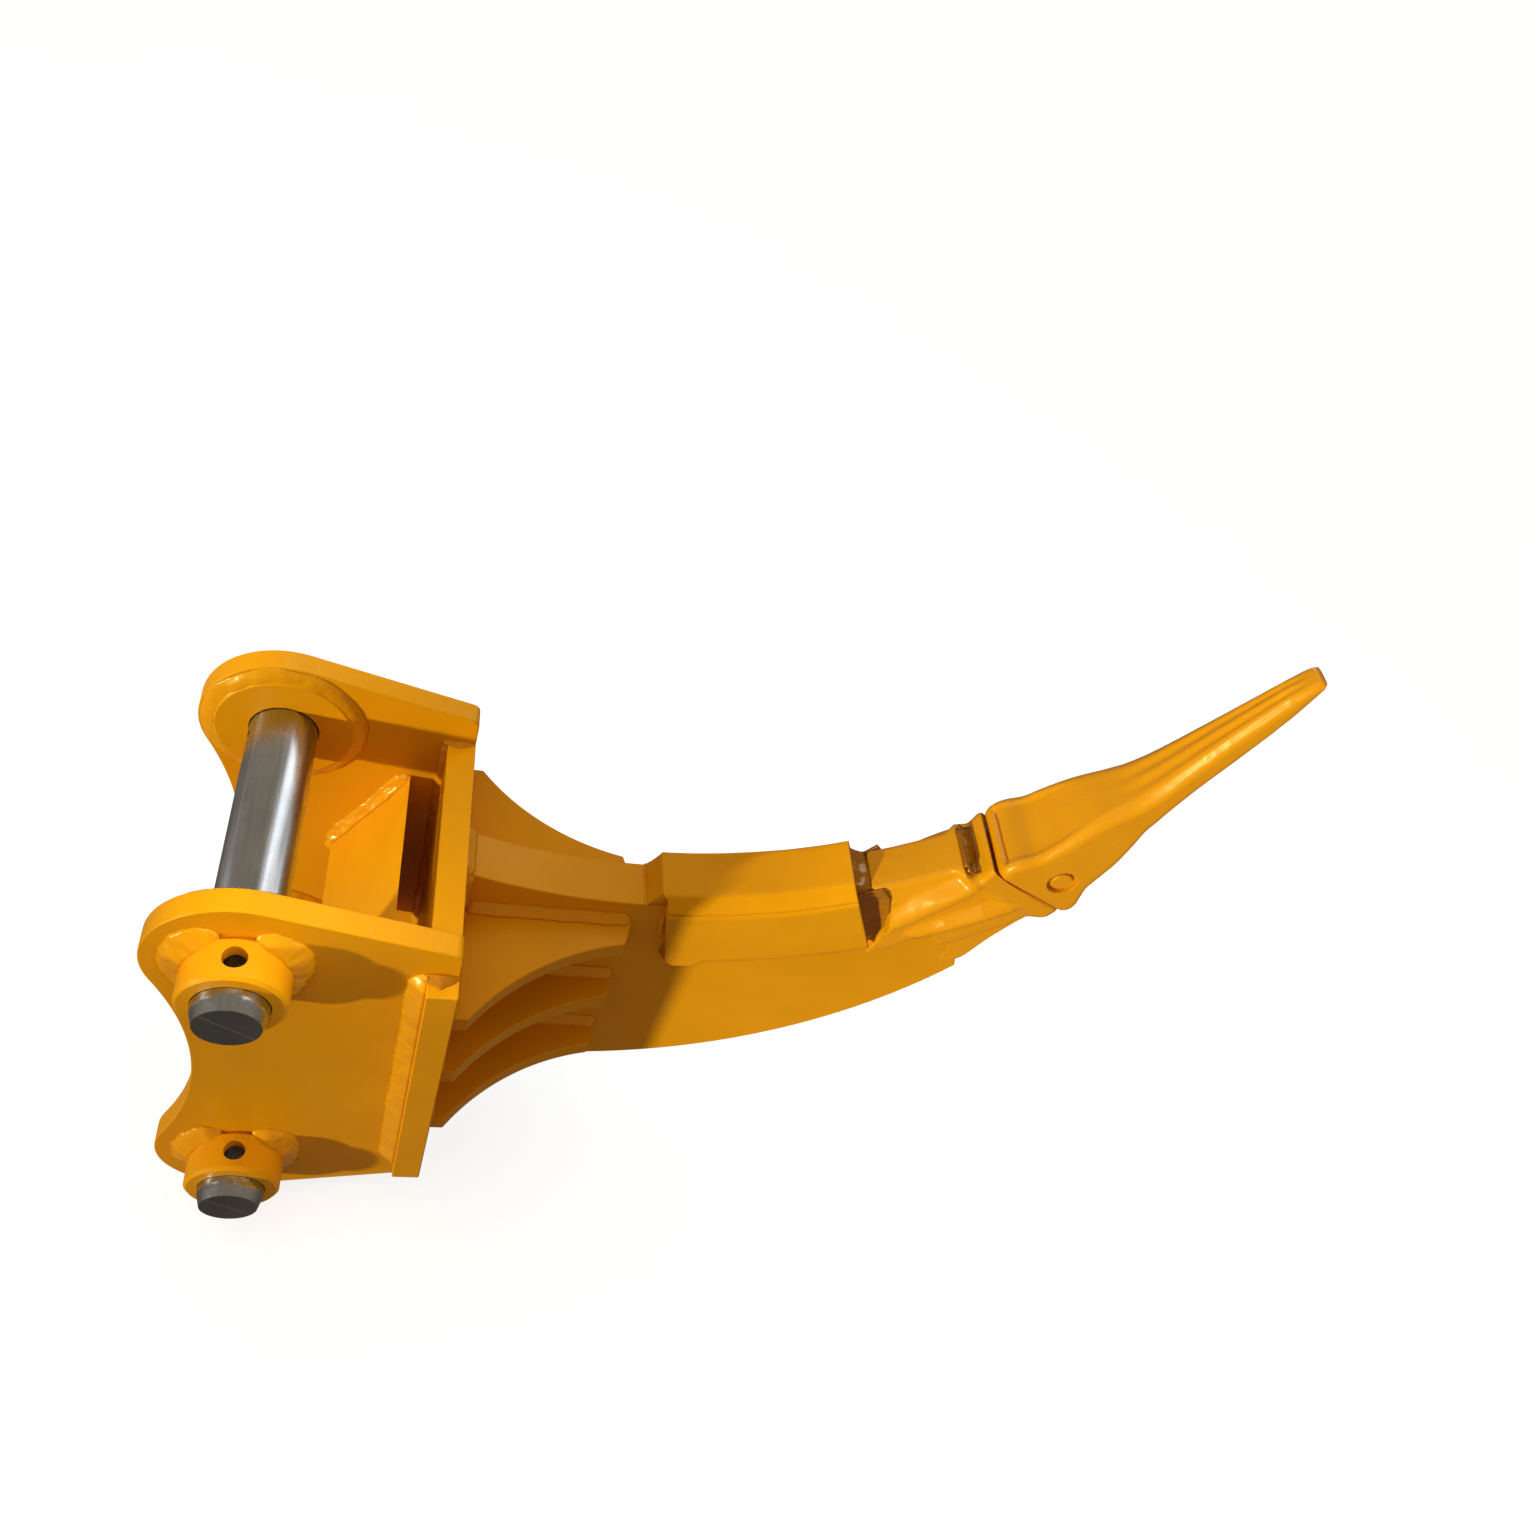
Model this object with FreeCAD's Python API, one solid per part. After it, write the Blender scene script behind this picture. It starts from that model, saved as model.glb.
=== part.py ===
"""Pin-on single-shank ripper for a 20 tonne class excavator.

Frame: origin on the stick pin's axis, midway between the two ear plates.
+X runs from the pins along the shank, +Y along the pins towards the far ear, +Z towards the
shank's concave working edge. Units are millimetres.
Every sub-part is written to parts/NODE.step as one solid in this frame.
"""
import FreeCAD, Part
import math
import os

V = FreeCAD.Vector

# ---- pins, ears and collars -------------------------------------------------------------
PIN_R = 40.0                 # stick pin and link pin
PIN_SPACING = 446.0          # stick pin axis to link pin axis
PIN_TAPER_R = 35.0           # lead-in end of each pin
PIN_TAPER_LEN = 16.0
PIN_PROUD = 24.0             # near end, beyond the collar
PIN_FAR_PROUD = 12.0         # far end, beyond the far ear
PIN_GREASE_R = 4.0           # grease outlet in the pin's working length
BORE_R = 40.75               # ears, discs and collars round the pins
GAP = 316.0                  # between the ear plates
EAR_T = 30.0
EAR_LOBE_R = 100.0
EAR_SLOPE = 0.25             # fall of the ear's long edges towards the base plate
SCALLOP_DEPTH_X = -52.0      # deepest point of the hollow between the two lobes
EAR_CORNER_R = 12.0          # at the hooks over the base plate
COLLAR_R = 57.5
COLLAR_LEN = 52.0
COLLAR_CHAMFER = 4.0
COLLAR_ROOT_CHAMFER = 5.0    # weld preparation against the ear
BOLT_HOLE_R = 13.0           # M24 lock bolt through collar and pin
DISC_R = 87.0
DISC_T = 10.0
DISC_CHAMFER = 7.0

# ---- base plate, brace and ribs ---------------------------------------------------------
PLATE_X = 195.0
PLATE_T = 35.0
PLATE_TOP = 5.0
PLATE_HALF_W = 216.0
BRACE_T = 20.0
BRACE_APEX_X = 65.0
BRACE_END_X = 156.0          # both legs are cut off square to X here
BRACE_END_DZ = 155.0         # height of each leg's end from the brace's apex
RIB_T = 25.0
RIB_TOPS = {"top": -81.0, "middle": -206.0, "bottom": -331.0}
RIB_HALF_W = 190.0
RIB_TOE = 19.0               # straight outer end, along X
RIB_TIP_X = 436.0            # outer corner of the tip
RIB_TIP_HALF_W = 69.0
RIB_TIP_SLANT = 10.0         # the tip's end runs this much further along X at the shank
RIB_SAG = 21.0               # hollow of the free edge

# ---- shank ------------------------------------------------------------------------------
SHANK_T = 64.0
IN_X, IN_Z, IN_R = 434.0, 599.0, 644.0       # concave edge: centre and radius
OUT_X, OUT_Z, OUT_R = 359.0, 227.0, 653.0    # convex edge
TONGUE_STEP = 20.0           # the adapter's top leg is let into the shank by this much
TONGUE_ANGLE = 27.2          # degrees from straight down, about the concave centre
SHANK_END_X = 910.0          # lowest point of the shank's front end

# ---- shin guard, about the concave centre ------------------------------------------------
GUARD_RISE = 25.0
GUARD_TOP_HALF_W = 34.0      # flat top, between the two sloping bands
GUARD_BAND_FALL = 21.0       # the bands slope down by this much to the cheeks
GUARD_CHEEK = 105.0          # how far the cheeks reach below the concave edge
GUARD_CHEEK_PROUD = 18.0
GUARD_FROM, GUARD_TO = 4.2, 26.0
GUARD_NOSE = 2.2             # the sloping rear face takes this many degrees
LOBE_W = 50.0
LOBE_DROP = 10.0

# ---- tooth axis: s runs from the tooth's rear face to its tip, t towards the concave side --
TOOTH_X, TOOTH_Z = 931.0, 80.0
TOOTH_ANGLE = 62.85
TOOTH_LEN = 442.0
# outside of the tooth: s, lowest t, highest t, half width
TOOTH_SECTIONS = [
    (0.0, -67.0, 67.0, 56.0),
    (20.0, -68.0, 68.0, 57.0),
    (50.0, -51.0, 54.0, 56.0),
    (105.0, -47.0, 45.0, 50.0),
    (160.0, -37.0, 28.0, 42.0),
    (210.0, -31.0, 15.0, 36.0),
    (300.0, -25.0, 11.0, 27.5),
    (390.0, -17.0, 10.0, 21.0),
    (TOOTH_LEN, -8.0, 6.0, 16.5),
]
NOSE_SECTIONS = [(0.0, -50.0, 50.0, 40.0), (70.0, -36.0, 36.0, 31.0), (140.0, -20.0, 14.0, 18.0)]
SOCKET_GAP = 1.5
TOOTH_CHAMFER = 10.0
NOSE_CHAMFER = 8.0
SHOULDER_FROM, SHOULDER_TO = -34.0, -6.0
SHOULDER_LOW, SHOULDER_HIGH = -66.0, 72.0
SHOULDER_HALF_W = 50.0
SHOULDER_CHAMFER = 14.0
TOP_LEG_FROM, TOP_LEG_TO = 28.6, 38.0        # degrees, about the concave centre
FINGER_PROUD = 10.0
# outlines of the two legs on each flank of the shank, x and z
UPPER_FINGER = [
    (748, 16), (772, -88), (800, -60), (870, 10), (905, 80), (880, 100), (838, 92), (790, 56),
]
LOWER_FINGER = [
    (830, -66), (862, -68), (900, -42), (940, 12), (950, 60), (880, 40), (850, 4), (832, -36),
]

# ---- lock pin of the tooth ---------------------------------------------------------------
LOCK_S, LOCK_T = 42.0, -8.0
LOCK_R = 14.5
LOCK_BORE_R = 15.1
LOCK_HALF_LEN = 55.0
LOCK_CHAMFER = 1.5
LOCK_RECESS_R = 19.5         # hollow in the tooth's side round each end of the lock pin
LOCK_RECESS_Y = 50.0
RETAINER_R = 20.0
RETAINER_BORE_R = 14.8
RETAINER_HALF_LEN = 5.0

ear_inner = GAP / 2
ear_outer = ear_inner + EAR_T
collar_face = ear_outer + COLLAR_LEN
plate_right = PLATE_X + PLATE_T
plate_bottom = -PIN_SPACING - PLATE_TOP
mid_z = -PIN_SPACING / 2
half_t = SHANK_T / 2
pin_near_end = collar_face + PIN_PROUD
pin_far_end = ear_outer + PIN_FAR_PROUD
cross_hole_y = -(ear_outer + COLLAR_LEN / 2)


# ---- drawing helpers ---------------------------------------------------------------------
def save(name, shape):
    """Check one solid and write it."""
    solid = shape.removeSplitter()
    if solid.ShapeType != "Solid":
        solids = solid.Solids
        if len(solids) != 1:
            raise ValueError(f"{name} has {len(solids)} solids")
        solid = solids[0]
    if not solid.isValid():
        raise ValueError(f"{name} is not valid")
    solid.exportStep(f"parts/{name}.step")
    print(f"{name:28s} {solid.Volume / 1000:10.1f} cm3")


def xz(x, z, y=0.0):
    return V(x, y, z)


def line(a, b):
    return Part.LineSegment(a, b).toShape()


def arc(a, middle, b):
    return Part.Arc(a, middle, b).toShape()


def prism(edges, y0, y1):
    """Closed XZ outline at any y, moved to y0 and drawn out to y1."""
    wire = Part.Wire(edges)
    face = Part.Face(wire)
    face.translate(V(0, y0 - wire.BoundBox.YMin, 0))
    return face.extrude(V(0, y1 - y0, 0))


def polygon_prism(points, y0, y1):
    corners = [xz(x, z) for x, z in points]
    edges = [line(a, b) for a, b in zip(corners, corners[1:] + corners[:1])]
    return prism(edges, y0, y1)


def rod(radius, y0, y1, x=0.0, z=0.0):
    return Part.makeCylinder(radius, y1 - y0, V(x, y0, z), V(0, 1, 0))


def on_inner(radius, degrees):
    """Point at a radius and an angle from straight down, about the concave edge's centre."""
    a = math.radians(degrees)
    return xz(IN_X + radius * math.sin(a), IN_Z - radius * math.cos(a))


def sector(r0, r1, a0, a1, y0, y1):
    """Ring sector about the concave edge's centre."""
    middle = (a0 + a1) / 2
    edges = [
        arc(on_inner(r0, a0), on_inner(r0, middle), on_inner(r0, a1)),
        line(on_inner(r0, a1), on_inner(r1, a1)),
        arc(on_inner(r1, a1), on_inner(r1, middle), on_inner(r1, a0)),
        line(on_inner(r1, a0), on_inner(r0, a0)),
    ]
    return prism(edges, y0, y1)


def inner_z(x, radius=IN_R):
    return IN_Z - math.sqrt(radius ** 2 - (x - IN_X) ** 2)


def outer_z(x):
    return OUT_Z - math.sqrt(OUT_R ** 2 - (x - OUT_X) ** 2)


def along(s, t, y=0.0):
    """Point given in the tooth's own axes."""
    a = math.radians(TOOTH_ANGLE)
    x = TOOTH_X + s * math.cos(a) - t * math.sin(a)
    z = TOOTH_Z + s * math.sin(a) + t * math.cos(a)
    return V(x, y, z)


def chamfered_section(s, low, high, half_w, cut):
    """Eight-cornered section square to the tooth's axis."""
    c = min(cut, half_w * 0.45, (high - low) * 0.3)
    corners = [
        (low, half_w - c), (low + c, half_w), (high - c, half_w), (high, half_w - c),
        (high, c - half_w), (high - c, -half_w), (low + c, -half_w), (low, c - half_w),
    ]
    points = [along(s, t, y) for t, y in corners]
    return Part.makePolygon(points + points[:1])


def loft(sections, cut):
    wires = [chamfered_section(s, low, high, w, cut) for s, low, high, w in sections]
    return Part.makeLoft(wires, True, True)


# ---- ear plates --------------------------------------------------------------------------
def ear(y0, y1):
    """Two lobes joined by a hollow on the left, hooked over the base plate on the right."""
    # the long edges touch the lobes where the lobe's normal matches the slope
    lean = math.atan(EAR_SLOPE)
    touch_x = EAR_LOBE_R * math.sin(lean)
    touch_z = EAR_LOBE_R * math.cos(lean)
    end_z = touch_z - EAR_SLOPE * (plate_right - touch_x)
    meet_x, meet_dz = lobe_meets_scallop()
    down = -PIN_SPACING
    lobe_side = math.radians(160)
    side = (EAR_LOBE_R * math.cos(lobe_side), EAR_LOBE_R * math.sin(lobe_side))
    edges = [
        line(xz(plate_right, end_z), xz(touch_x, touch_z)),
        arc(xz(touch_x, touch_z), xz(*side), xz(meet_x, -meet_dz)),
        arc(xz(meet_x, -meet_dz), xz(SCALLOP_DEPTH_X, mid_z), xz(meet_x, down + meet_dz)),
        arc(xz(meet_x, down + meet_dz), xz(side[0], down - side[1]), xz(touch_x, down - touch_z)),
        line(xz(touch_x, down - touch_z), xz(plate_right, down - end_z)),
        line(xz(plate_right, down - end_z), xz(plate_right, plate_bottom)),
        line(xz(plate_right, plate_bottom), xz(PLATE_X, plate_bottom)),
        line(xz(PLATE_X, plate_bottom), xz(PLATE_X, PLATE_TOP)),
        line(xz(PLATE_X, PLATE_TOP), xz(plate_right, PLATE_TOP)),
        line(xz(plate_right, PLATE_TOP), xz(plate_right, end_z)),
    ]
    plate = prism(edges, y0, y1)
    for z in (0.0, down):
        plate = plate.cut(rod(BORE_R, y0 - 1, y1 + 1, 0, z))
    corners = [e for e in plate.Edges if at_hook_corner(e, end_z)]
    return plate.makeFillet(EAR_CORNER_R, corners)


def lobe_meets_scallop():
    """Where the hollow's arc runs tangent into a lobe: x, and depth below the pin's axis."""
    depth = -SCALLOP_DEPTH_X
    scallop_r = (mid_z ** 2 + depth ** 2 - EAR_LOBE_R ** 2) / (2 * (EAR_LOBE_R - depth))
    share = EAR_LOBE_R / (scallop_r + EAR_LOBE_R)
    return -share * (depth + scallop_r), -share * mid_z


def at_hook_corner(edge, end_z):
    box = edge.BoundBox
    across = box.YLength > EAR_T / 2 and box.XLength < 0.1 and box.ZLength < 0.1
    at_end = abs(box.XMin - plate_right) < 0.1
    outer = min(abs(box.ZMin - end_z), abs(box.ZMin + PIN_SPACING + end_z)) < 0.1
    return across and at_end and outer


def make_ears():
    save("ear_plate_near", ear(-ear_outer, -ear_inner))
    save("ear_plate_far", ear(ear_inner, ear_outer))


# ---- collars, discs and pins -------------------------------------------------------------
def collar(z):
    body = rod(COLLAR_R, -collar_face, -ear_outer, 0, z)
    front = [e for e in body.Edges if e.BoundBox.YMax < -collar_face + 0.1]
    body = body.makeChamfer(COLLAR_CHAMFER, front)
    root = [e for e in body.Edges if e.BoundBox.YMin > -ear_outer - 0.1]
    body = body.makeChamfer(COLLAR_ROOT_CHAMFER, root)
    body = body.cut(rod(BORE_R, -collar_face - 1, -ear_outer + 1, 0, z))
    return body.cut(cross_hole(z))


def cross_hole(z):
    reach = COLLAR_R + 2
    return Part.makeCylinder(BOLT_HOLE_R, 2 * reach, V(0, cross_hole_y, z - reach), V(0, 0, 1))


def disc(side, z):
    """Round doubler on an ear's inner face, chamfered towards the gap."""
    y_out = side * ear_inner
    y_in = side * (ear_inner - DISC_T)
    low, high = min(y_out, y_in), max(y_out, y_in)
    body = rod(DISC_R, low, high, 0, z)
    rim = [e for e in body.Edges if abs(e.BoundBox.YMin - y_in) < 0.1 and e.BoundBox.YLength < 0.1]
    body = body.makeChamfer(DISC_CHAMFER, rim)
    return body.cut(rod(BORE_R, low - 1, high + 1, 0, z))


def pin(z):
    shaft = rod(PIN_R, -pin_near_end + PIN_TAPER_LEN, pin_far_end - PIN_TAPER_LEN / 2, 0, z)
    near = Part.makeCone(PIN_TAPER_R, PIN_R, PIN_TAPER_LEN, V(0, -pin_near_end, z), V(0, 1, 0))
    far_r = (PIN_R + PIN_TAPER_R) / 2
    far_y = pin_far_end - PIN_TAPER_LEN / 2
    far = Part.makeCone(PIN_R, far_r, PIN_TAPER_LEN / 2, V(0, far_y, z), V(0, 1, 0))
    body = shaft.fuse([near, far]).cut(cross_hole(z))
    # grease way: along the axis from the far end, then out to the working length
    outlet_y = ear_inner - DISC_T - 22.0
    outlet = Part.makeCylinder(PIN_GREASE_R, PIN_R + 1, V(0, outlet_y, z), V(-1, 0, 0.35))
    way = rod(PIN_GREASE_R, outlet_y, pin_far_end + 1, 0, z)
    return body.cut(outlet.fuse(way))


def make_pins_and_bosses():
    for name, z in (("stick", 0.0), ("link", -PIN_SPACING)):
        save(f"{name}_pin", pin(z))
        save(f"{name}_pin_collar", collar(z))
        save(f"{name}_disc_near", disc(-1, z))
        save(f"{name}_disc_far", disc(1, z))


# ---- base plate and brace ----------------------------------------------------------------
def make_base_plate():
    size = (PLATE_T, 2 * PLATE_HALF_W, PLATE_TOP - plate_bottom)
    save("base_plate", Part.makeBox(*size, V(PLATE_X, -PLATE_HALF_W, plate_bottom)))


def make_brace():
    """Bent plate across the gap, its apex towards the pins."""
    run = BRACE_END_X - BRACE_APEX_X
    length = math.hypot(run, BRACE_END_DZ)
    thick_x = BRACE_T * length / BRACE_END_DZ
    thick_z = BRACE_T * length / run
    top, low = mid_z + BRACE_END_DZ, mid_z - BRACE_END_DZ
    points = [
        (BRACE_END_X, top), (BRACE_APEX_X, mid_z), (BRACE_END_X, low),
        (BRACE_END_X, low + thick_z), (BRACE_APEX_X + thick_x, mid_z), (BRACE_END_X, top - thick_z),
    ]
    save("brace_plate", polygon_prism(points, -ear_inner, ear_inner))


# ---- shank and ribs ----------------------------------------------------------------------
def make_shank():
    """Curved plate; its front end narrows to a tongue that the adapter is welded over."""
    start_top, start_low = inner_z(plate_right), outer_z(plate_right)
    step_r = IN_R + TONGUE_STEP
    tip_top = on_inner(step_r, TOP_LEG_TO)
    tip_low = xz(SHANK_END_X, outer_z(SHANK_END_X))
    tongue_middle = on_inner(step_r, (TONGUE_ANGLE + TOP_LEG_TO) / 2)
    mid_out_x = (plate_right + SHANK_END_X) / 2
    edges = [
        arc(xz(plate_right, start_top), on_inner(IN_R, TONGUE_ANGLE / 3), on_inner(IN_R, TONGUE_ANGLE)),
        line(on_inner(IN_R, TONGUE_ANGLE), on_inner(step_r, TONGUE_ANGLE)),
        arc(on_inner(step_r, TONGUE_ANGLE), tongue_middle, tip_top),
        line(tip_top, tip_low),
        arc(tip_low, xz(mid_out_x, outer_z(mid_out_x)), xz(plate_right, start_low)),
        line(xz(plate_right, start_low), xz(plate_right, start_top)),
    ]
    save("shank", prism(edges, -half_t, half_t))


def rib(side, top):
    """Triangular gusset with a hollow free edge, lying flat between base plate and shank."""
    def at(x, y):
        return V(x, side * y, top - RIB_T)

    toe = (plate_right + RIB_TOE, RIB_HALF_W)
    tip = (RIB_TIP_X, RIB_TIP_HALF_W)
    dx, dy = tip[0] - toe[0], tip[1] - toe[1]
    length = math.hypot(dx, dy)
    middle = ((toe[0] + tip[0]) / 2 + dy / length * RIB_SAG, (toe[1] + tip[1]) / 2 - dx / length * RIB_SAG)
    edges = [
        line(at(plate_right, half_t), at(plate_right, RIB_HALF_W)),
        line(at(plate_right, RIB_HALF_W), at(*toe)),
        arc(at(*toe), at(*middle), at(*tip)),
        line(at(*tip), at(RIB_TIP_X + RIB_TIP_SLANT, half_t)),
        line(at(RIB_TIP_X + RIB_TIP_SLANT, half_t), at(plate_right, half_t)),
    ]
    return Part.Face(Part.Wire(edges)).extrude(V(0, 0, RIB_T))


def make_ribs():
    for level, top in RIB_TOPS.items():
        save(f"rib_near_{level}", rib(-1, top))
        save(f"rib_far_{level}", rib(1, top))


# ---- shin guard --------------------------------------------------------------------------
def make_guard():
    """Channel over the concave edge: flat cap, sloping bands, thick cheeks and a rear lobe."""
    cheek_w = half_t + GUARD_CHEEK_PROUD
    top_r = IN_R - GUARD_RISE
    low_r = IN_R + GUARD_CHEEK
    body = channel(top_r, low_r, cheek_w)
    lobe_deg = math.degrees(LOBE_W / low_r)
    lobe = sector(low_r - LOBE_DROP, low_r + LOBE_DROP, GUARD_FROM, GUARD_FROM + lobe_deg, -cheek_w, cheek_w)
    rim = low_r + LOBE_DROP
    corners = [e for e in lobe.Edges if e.BoundBox.YLength > cheek_w and beyond(e, rim)]
    lobe = lobe.makeFillet(LOBE_DROP * 1.4, corners)
    # sloping rear face of the cap, over the shank only
    wedge = prism([
        line(on_inner(top_r, GUARD_FROM), on_inner(IN_R, GUARD_FROM)),
        line(on_inner(IN_R, GUARD_FROM), on_inner(IN_R, GUARD_FROM - GUARD_NOSE)),
        line(on_inner(IN_R, GUARD_FROM - GUARD_NOSE), on_inner(top_r, GUARD_FROM)),
    ], -half_t, half_t)
    body = body.fuse([lobe, wedge])
    shank_room = sector(IN_R, IN_R + 2 * GUARD_CHEEK, 0.0, GUARD_TO + 5, -half_t, half_t)
    save("shin_guard", body.cut(shank_room))


def channel(top_r, low_r, cheek_w):
    """Cap and cheeks as one closed outline turned about the concave edge's centre."""
    band_r = top_r + GUARD_BAND_FALL
    outline = [
        (top_r, -GUARD_TOP_HALF_W), (top_r, GUARD_TOP_HALF_W), (band_r, cheek_w),
        (low_r, cheek_w), (low_r, -cheek_w), (band_r, -cheek_w),
    ]
    corners = [V(IN_X, y, IN_Z - r) for r, y in outline]
    face = Part.Face(Part.makePolygon(corners + corners[:1]))
    centre, axis = V(IN_X, 0, IN_Z), V(0, 1, 0)
    face.rotate(centre, axis, -GUARD_FROM)
    return face.revolve(centre, axis, GUARD_FROM - GUARD_TO)


def beyond(edge, radius):
    p = edge.CenterOfMass
    return math.hypot(p.x - IN_X, p.z - IN_Z) > radius - 1


# ---- adapter -----------------------------------------------------------------------------
def finger(side, outline):
    """Side leg of the adapter, lying on the shank's flank."""
    low, high = sorted((side * half_t, side * (half_t + FINGER_PROUD)))
    return polygon_prism(outline, low, high)


def make_adapter():
    """Casting welded to the shank's end: top leg, side fingers, shoulder and tapered nose."""
    body = sector(IN_R, IN_R + TONGUE_STEP, TOP_LEG_FROM, TOP_LEG_TO, -half_t, half_t)
    for side in (-1, 1):
        body = body.fuse(finger(side, UPPER_FINGER)).fuse(finger(side, LOWER_FINGER))
    shoulder = loft([
        (SHOULDER_FROM, SHOULDER_LOW, SHOULDER_HIGH + 6, SHOULDER_HALF_W - 6),
        (SHOULDER_FROM + 12, SHOULDER_LOW, SHOULDER_HIGH, SHOULDER_HALF_W),
        (SHOULDER_TO, SHOULDER_LOW, SHOULDER_HIGH - 6, SHOULDER_HALF_W),
    ], SHOULDER_CHAMFER)
    nose = loft([(SHOULDER_TO - 2, *NOSE_SECTIONS[0][1:])] + NOSE_SECTIONS[1:], NOSE_CHAMFER)
    body = body.fuse([neck(), shoulder, nose])
    hole = lock_rod(LOCK_BORE_R, LOCK_HALF_LEN + 10)
    groove = lock_rod(RETAINER_R, RETAINER_HALF_LEN)
    save("adapter", body.cut(hole).cut(groove))


def neck():
    """Block between the shank's end and the shoulder."""
    leg_end = on_inner(IN_R, TOP_LEG_TO)
    tongue_end = on_inner(IN_R + TONGUE_STEP, TOP_LEG_TO)
    shoulder_top = along(SHOULDER_FROM, SHOULDER_HIGH + 6)
    shoulder_low = along(SHOULDER_FROM, SHOULDER_LOW)
    shank_low = xz(SHANK_END_X, outer_z(SHANK_END_X))
    corners = [leg_end, shoulder_top, shoulder_low, shank_low, tongue_end]
    edges = [line(a, b) for a, b in zip(corners, corners[1:] + corners[:1])]
    return prism(edges, -half_t, half_t)


def lock_rod(radius, half_len):
    """Cylinder on the lock pin's axis, the same length to both sides."""
    return Part.makeCylinder(radius, 2 * half_len, along(LOCK_S, LOCK_T, -half_len), V(0, 1, 0))


# ---- tooth, lock pin and retainer --------------------------------------------------------
def make_tooth():
    outside = loft(TOOTH_SECTIONS, TOOTH_CHAMFER)
    socket = loft([(s, low - SOCKET_GAP, high + SOCKET_GAP, w + SOCKET_GAP)
                   for s, low, high, w in NOSE_SECTIONS], NOSE_CHAMFER)
    wide = TOOTH_SECTIONS[0][3] + 5
    body = outside.cut(socket).cut(lock_rod(LOCK_BORE_R, wide))
    for side in (-1, 1):
        start = along(LOCK_S, LOCK_T, side * LOCK_RECESS_Y)
        body = body.cut(Part.makeCylinder(LOCK_RECESS_R, 20, start, V(0, side, 0)))
    save("tooth", body)


def make_lock():
    pin_body = lock_rod(LOCK_R, LOCK_HALF_LEN)
    ends = [e for e in pin_body.Edges if e.BoundBox.YLength < 0.1]
    save("tooth_lock_pin", pin_body.makeChamfer(LOCK_CHAMFER, ends))
    ring = lock_rod(RETAINER_R, RETAINER_HALF_LEN)
    save("lock_pin_retainer", ring.cut(lock_rod(RETAINER_BORE_R, RETAINER_HALF_LEN)))


os.makedirs("parts", exist_ok=True)
make_ears()
make_pins_and_bosses()
make_base_plate()
make_brace()
make_shank()
make_ribs()
make_guard()
make_adapter()
make_tooth()
make_lock()
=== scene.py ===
"""Looks of the pin-on ripper: painted plates, weld beads, castings, pins, floor, light and camera.

Shapes are worked out in millimetres in the row frame and turned into metres when a mesh is made.
X runs from the pins along the shank, Y along the pins to the far ear, Z towards the concave edge.
"""

import bpy
import bmesh
import math
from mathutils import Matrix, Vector, noise


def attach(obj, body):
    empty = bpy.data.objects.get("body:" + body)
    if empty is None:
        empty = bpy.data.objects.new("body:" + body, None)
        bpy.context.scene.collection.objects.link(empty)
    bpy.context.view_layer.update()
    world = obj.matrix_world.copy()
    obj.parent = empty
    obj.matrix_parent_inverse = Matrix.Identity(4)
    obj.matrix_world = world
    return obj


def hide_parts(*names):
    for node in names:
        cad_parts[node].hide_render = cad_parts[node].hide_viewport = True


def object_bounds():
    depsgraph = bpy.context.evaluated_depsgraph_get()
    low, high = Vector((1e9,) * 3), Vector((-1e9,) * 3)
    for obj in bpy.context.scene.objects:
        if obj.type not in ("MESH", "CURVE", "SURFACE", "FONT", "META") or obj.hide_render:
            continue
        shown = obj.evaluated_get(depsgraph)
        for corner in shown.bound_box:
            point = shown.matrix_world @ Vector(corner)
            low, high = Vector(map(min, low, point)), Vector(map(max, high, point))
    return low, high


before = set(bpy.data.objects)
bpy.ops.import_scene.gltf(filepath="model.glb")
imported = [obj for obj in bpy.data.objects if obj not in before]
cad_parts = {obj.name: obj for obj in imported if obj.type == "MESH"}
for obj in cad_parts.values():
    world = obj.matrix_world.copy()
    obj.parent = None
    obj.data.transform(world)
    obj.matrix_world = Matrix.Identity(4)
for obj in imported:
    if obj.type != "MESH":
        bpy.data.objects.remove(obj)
cad_low, cad_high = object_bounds()

MM = 0.001
ROOT = "ripper_frame"
SIDES = (("near", -1), ("far", 1))

# ---- sizes that the looks share with the frame, in millimetres ---------------------------
LINK_Z = -446.0
EAR_IN, EAR_OUT = 158.0, 188.0
COLLAR_R, DISC_R = 57.5, 87.0
PLATE_X, PLATE_RIGHT = 195.0, 230.0
PLATE_TOP, PLATE_BOTTOM = 5.0, -451.0
SHANK_HALF = 32.0
IN_X, IN_Z, IN_R = 434.0, 599.0, 644.0       # arc of the shank's concave edge
OUT_X, OUT_Z, OUT_R = 359.0, 227.0, 653.0    # arc of its convex edge
BRACE_APEX = (65.0, -223.0)
BRACE_END = (156.0, 155.0)                   # a leg's end: x, and height above or below the apex
RIB_TOPS = (-81.0, -206.0, -331.0)
RIB_T, RIB_HALF_W = 25.0, 190.0
RIB_WELD_END = 444.0                         # the welds on the shank run just past the ribs' tips
TOOTH_X, TOOTH_Z = 931.0, 80.0
TOOTH_ANGLE = math.radians(62.85)
LOCK_S, LOCK_T = 42.0, -8.0                  # the lock pin's axis along and across the tooth
LOCK_HOLE_R = 15.1
LOCK_RECESS_R, LOCK_RECESS_Y = 19.5, 50.0
RETAINER_SEAT_R, RETAINER_SEAT_HALF = 20.2, 5.2


def smooth_step(x, low=0.0, high=1.0):
    """0 below low, 1 above high, and smooth between them."""
    k = min(max((x - low) / (high - low), 0.0), 1.0)
    return k * k * (3 - 2 * k)


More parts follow.
